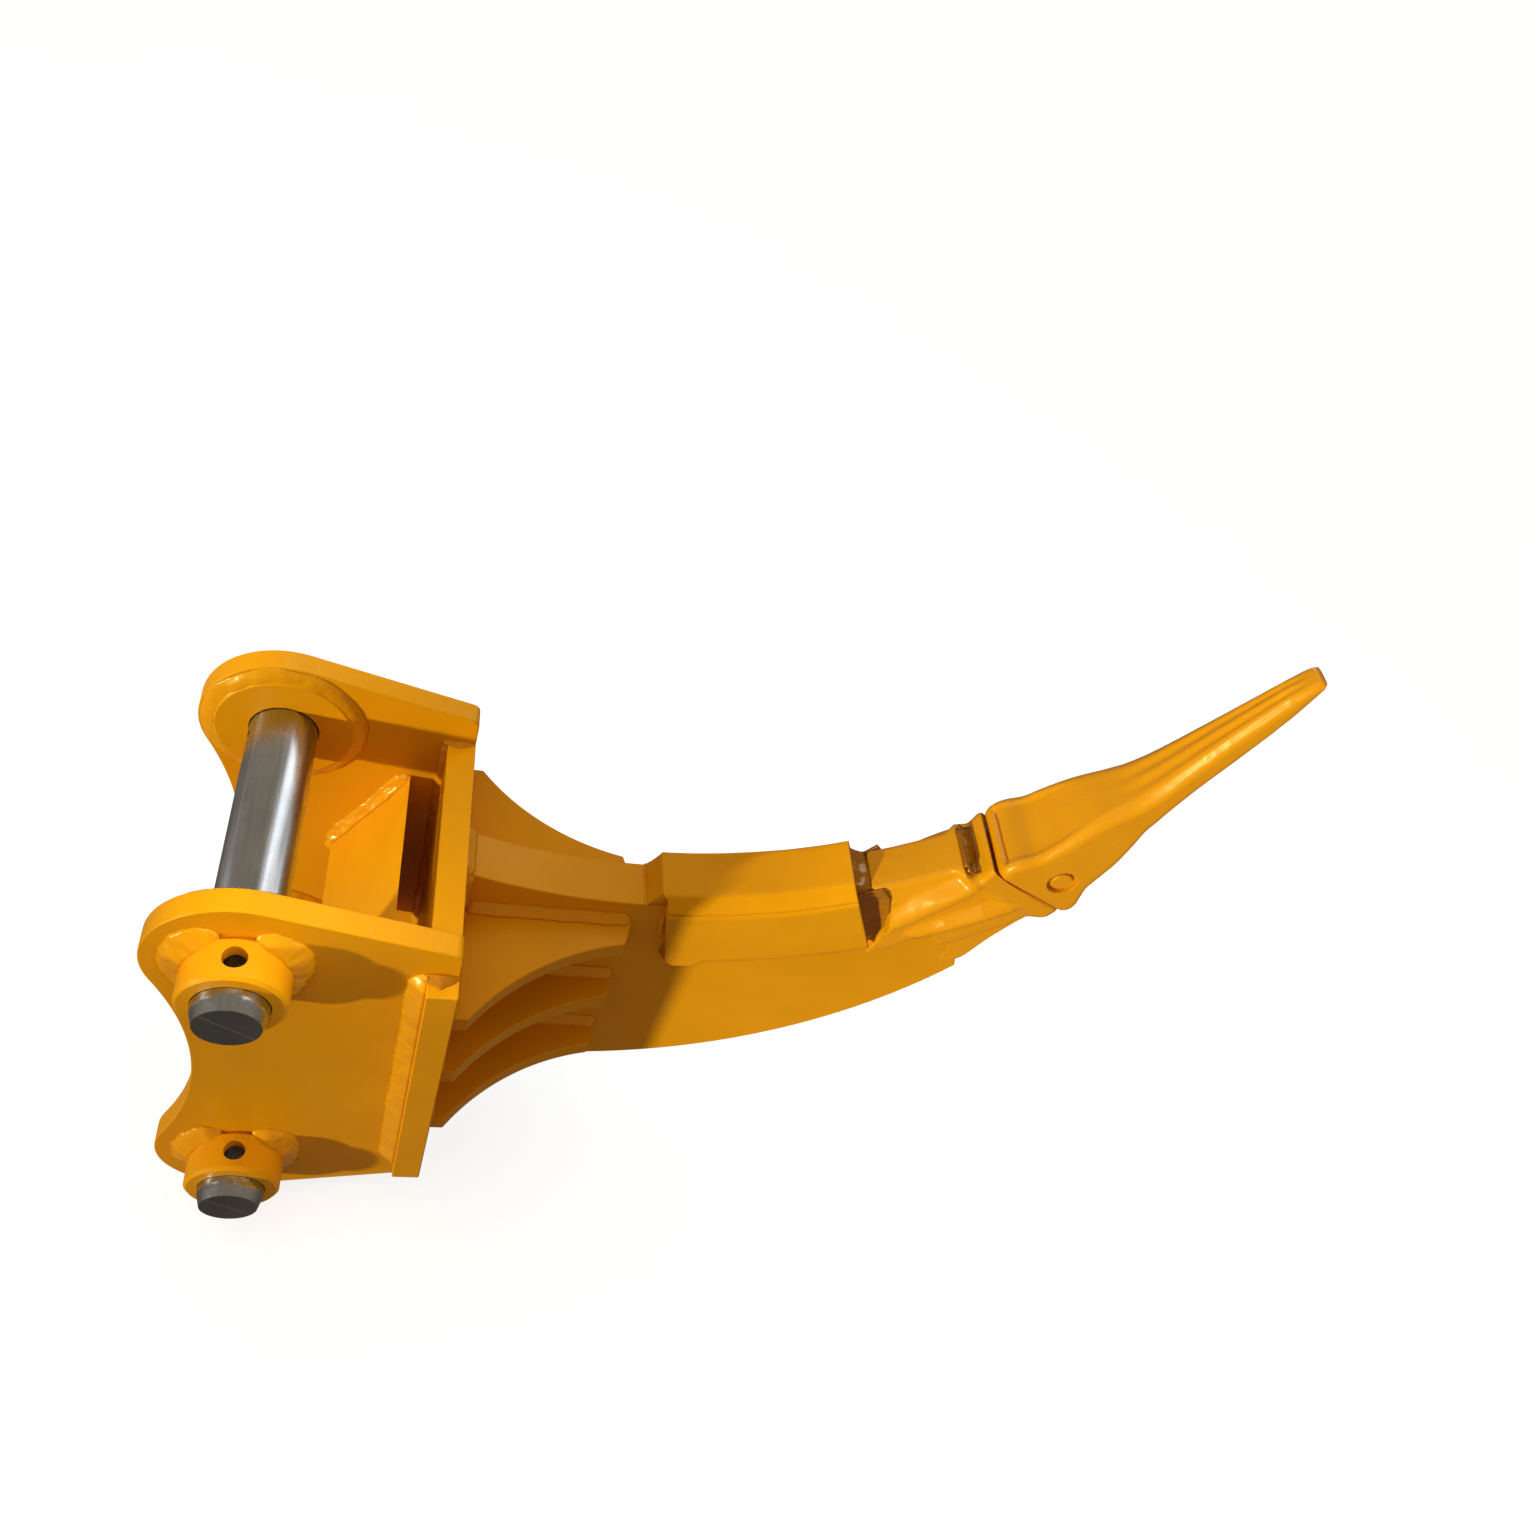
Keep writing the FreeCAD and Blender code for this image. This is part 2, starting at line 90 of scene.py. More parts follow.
def blob(point, size, seed=0.0):
    """Smooth noise from about -1 to 1 with features of a given size."""
    return noise.noise(Vector(point) / size + Vector((seed, seed * 0.7, -seed)))


def tooth_point(s, t, y):
    """s runs from the tooth's rear face to its tip, t towards the concave side."""
    x = TOOTH_X + s * math.cos(TOOTH_ANGLE) - t * math.sin(TOOTH_ANGLE)
    z = TOOTH_Z + s * math.sin(TOOTH_ANGLE) + t * math.cos(TOOTH_ANGLE)
    return Vector((x, y, z))


def arc_point(radius, degrees, y):
    """Radius and angle from straight down, about the concave edge's centre."""
    a = math.radians(degrees)
    return Vector((IN_X + radius * math.sin(a), y, IN_Z - radius * math.cos(a)))


def curve_through(points, x):
    """Smooth value at x of a curve through (x, value, ...) rows: Catmull-Rom, held at the ends."""
    if x <= points[0][0]:
        return list(points[0][1:])
    if x >= points[-1][0]:
        return list(points[-1][1:])
    i = next(k for k in range(len(points) - 1) if x <= points[k + 1][0])
    p1, p2 = points[i], points[i + 1]
    p0 = points[max(i - 1, 0)]
    p3 = points[min(i + 2, len(points) - 1)]
    span = p2[0] - p1[0]
    k = (x - p1[0]) / span
    out = []
    for c in range(1, len(p1)):
        m1 = (p2[c] - p0[c]) / (p2[0] - p0[0]) * span
        m2 = (p3[c] - p1[c]) / (p3[0] - p1[0]) * span
        h = (2 * k ** 3 - 3 * k ** 2 + 1) * p1[c] + (k ** 3 - 2 * k ** 2 + k) * m1
        out.append(h + (3 * k ** 2 - 2 * k ** 3) * p2[c] + (k ** 3 - k ** 2) * m2)
    return out


# ---- meshes ------------------------------------------------------------------------------
def metre_mesh(name, shape):
    """Mesh in metres from a shape: its points in millimetres, and its faces."""
    points, faces = shape
    mesh = bpy.data.meshes.new(name)
    mesh.from_pydata([tuple(Vector(p) * MM) for p in points], [], faces)
    mesh.validate()
    return mesh


def turn_faces_out(mesh, smooth):
    bm = bmesh.new()
    bm.from_mesh(mesh)
    bmesh.ops.recalc_face_normals(bm, faces=bm.faces)
    for face in bm.faces:
        face.smooth = smooth
    bm.to_mesh(mesh)
    bm.free()


def make_piece(name, shape, material):
    """Painted, smooth shaded piece of the fixed frame, from a shape."""
    return finish_piece(name, metre_mesh(name, shape), material)


def finish_piece(name, mesh, material, body=ROOT):
    """Piece from a mesh in metres: outward faces, material and body."""
    turn_faces_out(mesh, smooth=True)
    mesh.materials.clear()
    mesh.materials.append(material)
    piece = bpy.data.objects.new(name, mesh)
    bpy.context.scene.collection.objects.link(piece)
    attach(piece, body)
    return piece


def skin(rings, close_ends=True):
    """Shape of a tube through rings that all have the same number of points."""
    count = len(rings[0])
    points = [p for ring in rings for p in ring]
    faces = []
    for i in range(len(rings) - 1):
        for k in range(count):
            n = (k + 1) % count
            faces.append((i * count + k, i * count + n, (i + 1) * count + n, (i + 1) * count + k))
    if close_ends:
        for ring, base in ((rings[0], 0), (rings[-1], (len(rings) - 1) * count)):
            points.append(sum((Vector(p) for p in ring), Vector()) / count)
            hub = len(points) - 1
            faces += [(base + k, base + (k + 1) % count, hub) for k in range(count)]
    return points, faces


def ringed(rings):
    """Shape of a closed loop of rings."""
    points, faces = skin(rings + rings[:1], close_ends=False)
    count, last = len(rings[0]), len(rings[0]) * len(rings)
    faces = [tuple(i - last if i >= last else i for i in face) for face in faces]
    return points[:last], faces


def cut(piece, shape):
    """Cut a closed shape out of a piece."""
    mesh = metre_mesh("cutter", shape)
    turn_faces_out(mesh, smooth=False)
    cutter = bpy.data.objects.new("cutter", mesh)
    bpy.context.scene.collection.objects.link(cutter)
    modifier = piece.modifiers.new("cut", "BOOLEAN")
    modifier.operation = "DIFFERENCE"
    modifier.solver = "EXACT"
    modifier.object = cutter
    apply_modifiers(piece)
    bpy.data.objects.remove(cutter)


def apply_modifiers(piece):
    """Replace a piece's mesh by what its modifiers make of it."""
    bpy.context.view_layer.update()
    graph = bpy.context.evaluated_depsgraph_get()
    mesh = bpy.data.meshes.new_from_object(piece.evaluated_get(graph))
    piece.modifiers.clear()
    piece.data = mesh


def cylinder(centre, radius, y0, y1, count=48):
    """Shape of a cylinder along Y."""
    angles = [2 * math.pi * k / count for k in range(count)]
    rim = [(centre.x + radius * math.cos(a), centre.z + radius * math.sin(a)) for a in angles]
    return skin([[Vector((x, y, z)) for x, z in rim] for y in (y0, y1)])


def soften(node, width, material, body=ROOT, segments=3):
    """A CAD node with its sharp edges rounded, standing for that node."""
    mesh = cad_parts[node].data.copy()
    bm = bmesh.new()
    bm.from_mesh(mesh)
    bmesh.ops.remove_doubles(bm, verts=bm.verts, dist=2e-6)
    bmesh.ops.dissolve_limit(bm, angle_limit=math.radians(0.5), verts=bm.verts, edges=bm.edges)
    bm.to_mesh(mesh)
    bm.free()
    piece = finish_piece(node + "_finished", mesh, material, body)
    bevel = piece.modifiers.new("edges", "BEVEL")
    bevel.width = width * MM
    bevel.segments = segments
    bevel.limit_method = "ANGLE"
    bevel.angle_limit = math.radians(28)
    bevel.harden_normals = False
    normals = piece.modifiers.new("normals", "WEIGHTED_NORMAL")
    normals.weight = 80
    normals.keep_sharp = False
    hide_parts(node)
    return piece


# ---- materials ---------------------------------------------------------------------------
def new_material(name):
    """Empty material, with its shader and its coordinates in the row frame."""
    material = bpy.data.materials.new(name)
    material.use_nodes = True
    tree = material.node_tree
    shader = tree.nodes["Principled BSDF"]
    return material, tree, shader, tree.nodes.new("ShaderNodeTexCoord").outputs["Object"]


def set_inputs(tree, node, inputs):
    """Set a node's inputs to values, or link them from other nodes' outputs."""
    for name, value in inputs.items():
        if isinstance(value, bpy.types.NodeSocket):
            tree.links.new(value, node.inputs[name])
        else:
            node.inputs[name].default_value = value


def add_node(tree, kind, inputs):
    node = tree.nodes.new("ShaderNode" + kind)
    set_inputs(tree, node, inputs)
    return node


def add_noise(tree, coords, scale, detail=2.0, stretch=None):
    """Noise in the row frame's metres, stretched by a factor on each axis."""
    if stretch:
        coords = add_node(tree, "Mapping", {"Vector": coords, "Scale": stretch}).outputs["Vector"]
    return add_node(tree, "TexNoise", {"Vector": coords, "Scale": scale, "Detail": detail}).outputs["Fac"]


def ramp(tree, value, low, high, start, end):
    """Colour or grey that runs from start to end while value goes from low to high."""
    node = add_node(tree, "ValToRGB", {"Fac": value})
    for stop, place, tone in zip(node.color_ramp.elements, (low, high), (start, end)):
        stop.position = place
        stop.color = (*tone, 1) if len(tone) == 3 else (*tone * 3, 1)
    return node.outputs["Color"]


def mix(tree, factor, a, b):
    """Colour that runs from a to b with a fixed or a linked factor."""
    node = add_node(tree, "Mix", {"Factor": factor})
    node.data_type = "RGBA"
    for socket, color in zip([s for s in node.inputs if s.type == "RGBA"], (a, b)):
        tree.links.new(color, socket)
    return [s for s in node.outputs if s.type == "RGBA"][0]


def bump(tree, layers):
    """Normal from a chain of bumps: (height, strength, distance in metres)."""
    inputs = {}
    for height, strength, distance in layers:
        inputs.update({"Height": height, "Strength": strength, "Distance": distance})
        inputs["Normal"] = add_node(tree, "Bump", inputs).outputs["Normal"]
    return inputs["Normal"]


def math_node(tree, operation, *values):
    """Result of a sum on numbers or linked values."""
    node = add_node(tree, "Math", dict(enumerate(values)))
    node.operation = operation
    return node.outputs[0]


def split_xyz(tree, vector):
    return add_node(tree, "SeparateXYZ", {"Vector": vector}).outputs


def facing_y(tree):
    """1 on faces square to the pins' direction, 0 on faces along it."""
    normal = add_node(tree, "TexCoord", {}).outputs["Normal"]
    return math_node(tree, "ABSOLUTE", split_xyz(tree, normal)["Y"])


PAINT_LIGHT = (0.85, 0.365, 0.003)
PAINT_DEEP = (0.75, 0.305, 0.002)
GLOSS_TINT = (1.0, 0.76, 0.28, 1)
GLINT_LINE_SLOPE = 0.75         # the painted highlight line on the pins' end faces falls this much towards +X
TURNING_LINES = 2 * math.pi / 0.0009         # phase per metre: one ring each 0.9 mm
STEEL_DARK, STEEL_LIGHT = (0.33, 0.36, 0.40), (0.50, 0.54, 0.59)


def cut_lines(tree, coords):
    """Flame-cutting lines across a plate's edges; the flat faces, square to Y, have none."""
    on_edge = ramp(tree, facing_y(tree), 0.1, 0.5, (1.0,), (0.0,))
    lines = add_noise(tree, coords, 260.0, 2.0, stretch=(1.0, 0.03, 1.0))
    return math_node(tree, "MULTIPLY", lines, on_edge)


def along_tooth(tree, coords):
    """Shallow lines along the tooth's axis, as ground into the casting."""
    turned = add_node(tree, "Mapping", {"Vector": coords, "Rotation": (0, TOOTH_ANGLE, 0)})
    return add_noise(tree, turned.outputs["Vector"], 110.0, 3.0, stretch=(0.06, 1.0, 1.0))


def paint(name, grain, peel, rough_low, rough_high, light=PAINT_LIGHT, deep=PAINT_DEEP, coat=0.0,
          level=0.5, edge_lines=0.0, draw_lines=0.0):
    """Gloss orange enamel: two tones in broad patches, orange peel, and the plate's grain below."""
    material, tree, shader, coords = new_material(name)
    patches = ramp(tree, add_noise(tree, coords, 5.0, 3.0), 0.32, 0.68, deep, light)
    streaks = ramp(tree, add_noise(tree, coords, 24.0, 4.0), 0.25, 0.75, deep, light)
    gloss = add_noise(tree, coords, 14.0, 4.0)
    layers = [(add_noise(tree, coords, 70.0, 3.0), 0.25, 0.0006 * grain)]
    layers.append((add_noise(tree, coords, 420.0, 2.0), 0.18, 0.0002 * peel))
    if edge_lines:
        layers.append((cut_lines(tree, coords), 0.6, 0.0006 * edge_lines))
    if draw_lines:
        layers.append((along_tooth(tree, coords), 0.35, 0.0012 * draw_lines))
    set_inputs(tree, shader, {
        "Base Color": mix(tree, 0.35, patches, streaks),
        "Roughness": ramp(tree, gloss, 0.3, 0.7, (rough_low,), (rough_high,)),
        "Specular Tint": GLOSS_TINT,
        "Specular IOR Level": level,
        "Coat Weight": coat,
        "Coat Roughness": 0.12,
        "Normal": bump(tree, layers),
    })
    return material


def pin_steel():
    """Turned and ground steel: streaks along the pins, and faced ends with rings, a darker base that is painted
    shade, and a bright line that is a painted highlight.
    """
    material, tree, shader, coords = new_material("pin_steel")
    rings = add_noise(tree, coords, 900.0, 2.0, stretch=(0.04, 1.0, 0.04))
    streaks = add_noise(tree, coords, 160.0, 3.0, stretch=(1.0, 0.05, 1.0))
    patches = add_noise(tree, coords, 16.0, 4.0)
    side_patches = ramp(tree, patches, 0.3, 0.7, STEEL_DARK, STEEL_LIGHT)
    side_streaks = ramp(tree, streaks, 0.3, 0.7, STEEL_DARK, STEEL_LIGHT)
    # faces square to the pins' axis get a darker base: painted shade standing for their dark reflection
    shaded_end_tone = ramp(tree, patches, 0.3, 0.7, (0.20, 0.22, 0.25), (0.32, 0.35, 0.39))
    # pale tone for a diagonal line across the end faces: a painted highlight standing for the turned face's
    # reflection
    glint_tone = ramp(tree, patches, 0.3, 0.7, (0.75, 0.80, 0.85), (0.85, 0.90, 0.95))
    on_face = ramp(tree, facing_y(tree), 0.90, 0.98, (0.0,), (1.0,))
    place = split_xyz(tree, coords)
    # height above the nearer pin's axis
    half_spacing = -LINK_Z * MM / 2
    rise = math_node(tree, "WRAP", place["Z"], half_spacing, -half_spacing)
    # the painted highlight line runs through the pin's axis
    across = math_node(tree, "MULTIPLY", place["X"], GLINT_LINE_SLOPE)
    glint_line = math_node(tree, "ABSOLUTE", math_node(tree, "ADD", rise, across))
    glint_line = ramp(tree, math_node(tree, "MULTIPLY", glint_line, 300.0), 0.05, 0.30, (1.0,), (0.0,))
    glint_mask = math_node(tree, "MULTIPLY", glint_line, on_face)
    squares = [math_node(tree, "POWER", value, 2.0) for value in (place["X"], rise)]
    out = math_node(tree, "SQRT", math_node(tree, "ADD", *squares))
    turned = math_node(tree, "SINE", math_node(tree, "MULTIPLY", out, TURNING_LINES))
    turned = math_node(tree, "MULTIPLY", turned, on_face)
    layers = [(rings, 0.35, 0.00006), (patches, 0.1, 0.0004), (turned, 0.25, 0.00004)]
    tone = mix(tree, on_face, mix(tree, 0.4, side_patches, side_streaks), shaded_end_tone)
    set_inputs(tree, shader, {
        "Base Color": mix(tree, glint_mask, tone, glint_tone),
        "Metallic": 1.0,
        "Roughness": ramp(tree, streaks, 0.3, 0.7, (0.22,), (0.30,)),
        "Normal": bump(tree, layers),
    })
    return material


def rubber():
    """Dull black rubber."""
    material, tree, shader, coords = new_material("retainer_rubber")
    tone = ramp(tree, add_noise(tree, coords, 200.0), 0.3, 0.7, (0.02, 0.02, 0.02), (0.04, 0.04, 0.04))
    set_inputs(tree, shader, {"Base Color": tone, "Roughness": 0.7})
    return material


PLATE_PAINT = paint("orange_paint_plate", 0.5, 0.6, 0.30, 0.42, level=0.28)
EAR_PAINT = paint("orange_paint_ear", 0.5, 0.6, 0.30, 0.42, level=0.28, edge_lines=1.0)
CAST_PAINT = paint("orange_paint_casting", 1.6, 0.8, 0.22, 0.36, coat=0.25, draw_lines=1.0)
WELD_PAINT = paint("orange_paint_weld", 1.0, 0.5, 0.20, 0.32, coat=0.12)
# darker orange for the welds between guard and adapter and in the adapter's valley: painted shade for recesses
# the lamps leave dark
SHADE_PAINT_LIGHT, SHADE_PAINT_DEEP = (0.42, 0.155, 0.004), (0.26, 0.085, 0.002)
RECESS_SHADE_PAINT = paint("orange_paint_recess", 2.0, 0.5, 0.16, 0.28, SHADE_PAINT_LIGHT, SHADE_PAINT_DEEP, coat=0.3)
PIN_STEEL = pin_steel()
RUBBER = rubber()


# ---- plates, pins and small parts from the frame -----------------------------------------
def finish_plates():
    """Plates, discs, collars, pins and retainer: CAD shapes with rounded edges."""
    for node in ("ear_plate_near", "ear_plate_far"):
        soften(node, 1.8, EAR_PAINT)
    for node in ("base_plate", "brace_plate", "shank"):
        soften(node, 1.8, PLATE_PAINT)
    for side in ("near", "far"):
        for level in ("top", "middle", "bottom"):
            soften(f"rib_{side}_{level}", 1.5, PLATE_PAINT)
        for pin in ("stick", "link"):
            soften(f"{pin}_disc_{side}", 1.2, PLATE_PAINT)
    for pin in ("stick", "link"):
        soften(f"{pin}_pin_collar", 1.2, PLATE_PAINT)
        soften(f"{pin}_pin", 0.8, PIN_STEEL, body=f"{pin}_pin_body", segments=2)
    soften("tooth_lock_pin", 0.8, CAST_PAINT, body="tooth_lock_body")
    soften("lock_pin_retainer", 0.6, RUBBER)


# ---- weld beads --------------------------------------------------------------------------
def bead(name, path, leg_a, leg_b, seed, closed=False, rough=1.0, pitch=6.5, ripple=0.02,
         crown=0.18, end_taper=9.0, leg_scale=None, material=None):
    """Fillet weld along a corner.

    path gives (corner point, direction a, direction b) rows; the legs lie along a and b.
    The face is crowned, with crescent ripples one pitch apart and slow changes of width.
    """
    across = 9
    rings = []
    travelled = 0.0
    last = None
    length = sum((Vector(q[0]) - Vector(p[0])).length for p, q in zip(path, path[1:]))
    for i, (corner, a, b) in enumerate(path):
        corner, a, b = Vector(corner), Vector(a), Vector(b)
        if last is not None:
            travelled += (corner - last).length
        last = corner
        ends = 1.0
        if not closed:
            ends = math.sqrt(min(1.0, 0.08 + min(travelled, length - travelled) / end_taper))
        scale = leg_scale(i / max(len(path) - 1, 1)) if leg_scale else 1.0
        ring = [corner - (a + b) * 1.5]
        for k in range(across):
            u = k / (across - 1)
            angle = u * math.pi / 2
            flat = 1 / (math.cos(angle) + math.sin(angle))
            bulge = 1 + crown * math.sin(2 * angle)
            sway = 1 + 0.16 * rough * blob(corner + a * 40 * u, 26, seed)
            wander = 2.5 * blob(corner, 18, seed + 9)
            phase = (travelled + wander + 3.0 * math.sin(math.pi * u)) / pitch
            wave = ripple * math.sin(2 * math.pi * phase) * math.sin(math.pi * u)
            lump = 0.06 * blob(corner + b * 20 * u, 8, seed + 5) * rough
            f = flat * bulge * ends * scale * (sway + wave + lump)
            ring.append(corner + a * leg_a * f * math.cos(angle) + b * leg_b * f * math.sin(angle))
        rings.append(ring)
    shape = ringed(rings) if closed else skin(rings)
    return make_piece(name, shape, material or WELD_PAINT)


def straight(start, end, a, b, step=1.8):
    """Rows for a bead along a straight corner."""
    start, end = Vector(start), Vector(end)
    count = max(4, int((end - start).length / step))
    return [(start.lerp(end, i / count), a, b) for i in range(count + 1)]


def round_path(centre_z, radius, y, b, start=0.0, end=360.0, step=1.8):
    """Circle round a pin's axis at height y: a points outwards, b is the given direction."""
    span = math.radians(end - start)
    count = int(abs(span) * radius / step)
    path = []
    for i in range(count if end - start == 360.0 else count + 1):
        angle = math.radians(start) + span * i / count
        out = Vector((math.cos(angle), 0, math.sin(angle)))
        path.append((Vector((0, y, centre_z)) + out * radius, out, b))
    return path


def collar_welds():
    """Heavy fillets round the collars, left open for a short stretch at the top.

    k runs round from the open stretch: first the left side, last the right side.
    """
    def swell(k):
        left = 0.42 * math.exp(-((k - 0.16) / 0.10) ** 2)
        right = 0.34 * math.exp(-((k - 0.86) / 0.07) ** 2)
        return 0.92 + left + right

    for name, z, seed in (("stick", 0.0, 1.0), ("link", LINK_Z, 2.0)):
        path = round_path(z, COLLAR_R - 2, -EAR_OUT, Vector((0, -1, 0)), 90 + 19, 450 - 17)
        bead(f"{name}_collar_weld", path, 22, 13, seed, rough=1.5, pitch=9, ripple=0.012,
             crown=0.12, end_taper=14, leg_scale=swell)


def disc_welds():
    """Flat rings that run out from each disc over its chamfer."""
    for name, z in (("stick", 0.0), ("link", LINK_Z)):
        for side, sign in SIDES:
            inward = Vector((0, -sign, 0))
            path = round_path(z, DISC_R - 7.5, sign * EAR_IN, inward)
            bead(f"{name}_disc_weld_{side}", path, 18.5, 9.0, 3.0 + z / 100 + sign, closed=True,
                 rough=0.8, ripple=0.012, crown=0.16)


def ear_plate_welds():
    """Ears to base plate: outside along the whole height, inside beyond the brace, and the hooks."""
    left = Vector((-1, 0, 0))
    for side, sign in SIDES:
        out = Vector((0, sign, 0))
        start = (PLATE_X, sign * EAR_OUT, PLATE_TOP + 3)
        end = (PLATE_X, sign * EAR_OUT, PLATE_BOTTOM + 4)
        bead(f"ear_plate_weld_outer_{side}", straight(start, end, left, out), 22, 17, 7.0 + sign,
             rough=0.55, ripple=0.006, crown=0.06, end_taper=16)
        start = (PLATE_X, sign * EAR_IN, PLATE_TOP - 4)
        end = (PLATE_X, sign * EAR_IN, PLATE_BOTTOM + 4)
        bead(f"ear_plate_weld_inner_{side}", straight(start, end, left, -out), 9, 9, 9.0 + sign)
        for edge, z, up in (("top", PLATE_TOP, 1), ("bottom", PLATE_BOTTOM, -1)):
            for face, y, way, leg in (("outer", EAR_OUT, 1, 17), ("inner", EAR_IN, -1, 10)):
                start = (PLATE_X - 6, sign * y, z)
                end = (PLATE_RIGHT - 1, sign * y, z)
                path = straight(start, end, Vector((0, sign * way, 0)), Vector((0, 0, up)))
                bead(f"hook_weld_{edge}_{face}_{side}", path, leg, leg * 0.35, 11.0 + up + sign,
                     rough=1.6, ripple=0.0, crown=-0.05, end_taper=20)


def brace_welds():
    """Broad beads along the brace's legs on both ears."""
    run, rise = BRACE_END[0] - BRACE_APEX[0], BRACE_END[1]
    length = math.hypot(run, rise)
    for side, sign in SIDES:
        for leg, up in (("upper", 1), ("lower", -1)):
            along_leg = Vector((run, 0, up * rise)) / length
            face = Vector((-rise, 0, up * run)) / length
            apex = Vector((BRACE_APEX[0], sign * EAR_IN, BRACE_APEX[1]))
            start = apex - along_leg * 2
            end = apex + along_leg * (length - 3)
            path = straight(start, end, face, Vector((0, -sign, 0)))
            bead(f"brace_weld_{leg}_{side}", path, 14, 10, 15.0 + sign + up, rough=2.2, ripple=0.01, crown=0.02)


def shank_edge_z(x, inner=True):
    """Height of the shank's concave or convex edge."""
    if inner:
        return IN_Z - math.sqrt(IN_R ** 2 - (x - IN_X) ** 2)
    return OUT_Z - math.sqrt(OUT_R ** 2 - (x - OUT_X) ** 2)


def shank_welds():
    """Shank to base plate, all round, between and beyond the ribs."""
    right = Vector((1, 0, 0))
    top, low = shank_edge_z(PLATE_RIGHT), shank_edge_z(PLATE_RIGHT, False)
    for side, sign in SIDES:
        out = Vector((0, sign, 0))
        edges = [top] + [z for t in RIB_TOPS for z in (t, t - RIB_T)] + [low]
        for i in range(0, len(edges), 2):
            start = (PLATE_RIGHT, sign * SHANK_HALF, edges[i])
            end = (PLATE_RIGHT, sign * SHANK_HALF, edges[i + 1])
            bead(f"shank_weld_{side}_{i // 2}", straight(start, end, right, out), 11, 11, 19.0 + i + sign)
    for name, z, up in (("top", top, 1), ("bottom", low, -1)):
        start = (PLATE_RIGHT, -SHANK_HALF - 4, z)
        end = (PLATE_RIGHT, SHANK_HALF + 4, z)
        path = straight(start, end, right, Vector((0, 0, up)))
        bead(f"shank_weld_{name}", path, 10, 9, 25.0 + up, rough=1.3, crown=0.0)


def rib_welds():
    """Small fillets above and below each rib, on the shank and on the base plate."""
    for level, top in zip(("top", "middle", "bottom"), RIB_TOPS):
        for side, sign in SIDES:
            out = Vector((0, sign, 0))
            for face, z, up in (("upper", top, 1), ("lower", top - RIB_T, -1)):
                way = Vector((0, 0, up))
                start = (PLATE_RIGHT + 6, sign * SHANK_HALF, z)
                end = (RIB_WELD_END, sign * SHANK_HALF, z)
                leg = 14 if face == "upper" else 8
                path = straight(start, end, out, way)
                bead(f"rib_{side}_{level}_{face}_shank_weld", path, leg * 0.8, leg, 30.0 + z / 50,
                     crown=0.0, ripple=0.008)
                start = (PLATE_RIGHT, sign * (SHANK_HALF + 6), z)
                end = (PLATE_RIGHT, sign * RIB_HALF_W, z)
                path = straight(start, end, Vector((1, 0, 0)), way)
                bead(f"rib_{side}_{level}_{face}_plate_weld", path, 8, 7, 31.0 + z / 50)


# ---- shin guard --------------------------------------------------------------------------
GUARD_TOP_R = IN_R - 25
GUARD_TOP_HALF, GUARD_BAND_HALF = 34.0, 48.5
GUARD_BAND_R = IN_R - 5
GUARD_CHEEK_HALF = 50.0
GUARD_CHEEK_R = IN_R + 99
GUARD_CHEEK_GROWTH = 6.0     # the cheeks are this much deeper at the front
GUARD_GROOVE = 3.0           # shallow groove between band and cheek
GUARD_FROM, GUARD_TO = 4.2, 26.0
GUARD_LEAN = 1.0             # the cheeks' rear edge leans forward by this many degrees
GUARD_FOOT, GUARD_SLOPE_TOP = 2.0, 3.5   # sloping rear face of the cap, degrees
GUARD_LOBE_TO, GUARD_LOBE_DROP = 8.8, 12.0   # rounded lobe at the cheeks' rear: degrees, depth
GUARD_CORNER_DEGREES, GUARD_CORNER_RISE = 1.4, 8.0


def guard_low_r(degrees):
    """Lower edge of the cheeks: a rounded lobe at the rear, then a long even edge."""
    lobe = 1 - smooth_step(degrees, GUARD_LOBE_TO - 1.8, GUARD_LOBE_TO)
    corner = 1 - smooth_step(degrees, GUARD_FROM, GUARD_FROM + GUARD_CORNER_DEGREES)
    growth = GUARD_CHEEK_GROWTH * (degrees - GUARD_FROM) / (GUARD_TO - GUARD_FROM)
    return GUARD_CHEEK_R + growth + GUARD_LOBE_DROP * lobe - GUARD_CORNER_RISE * corner ** 2


def guard_start(radius, half):
    """Rear edge: at the slope's top over the cap, leaning forward down the cheeks."""
    lean = GUARD_LEAN * smooth_step(radius, GUARD_BAND_R, GUARD_CHEEK_R)
    on_cap = 1 - smooth_step(abs(half), GUARD_TOP_HALF - 2, GUARD_TOP_HALF + 6)
    return GUARD_FROM - (GUARD_FROM - GUARD_SLOPE_TOP) * on_cap + lean


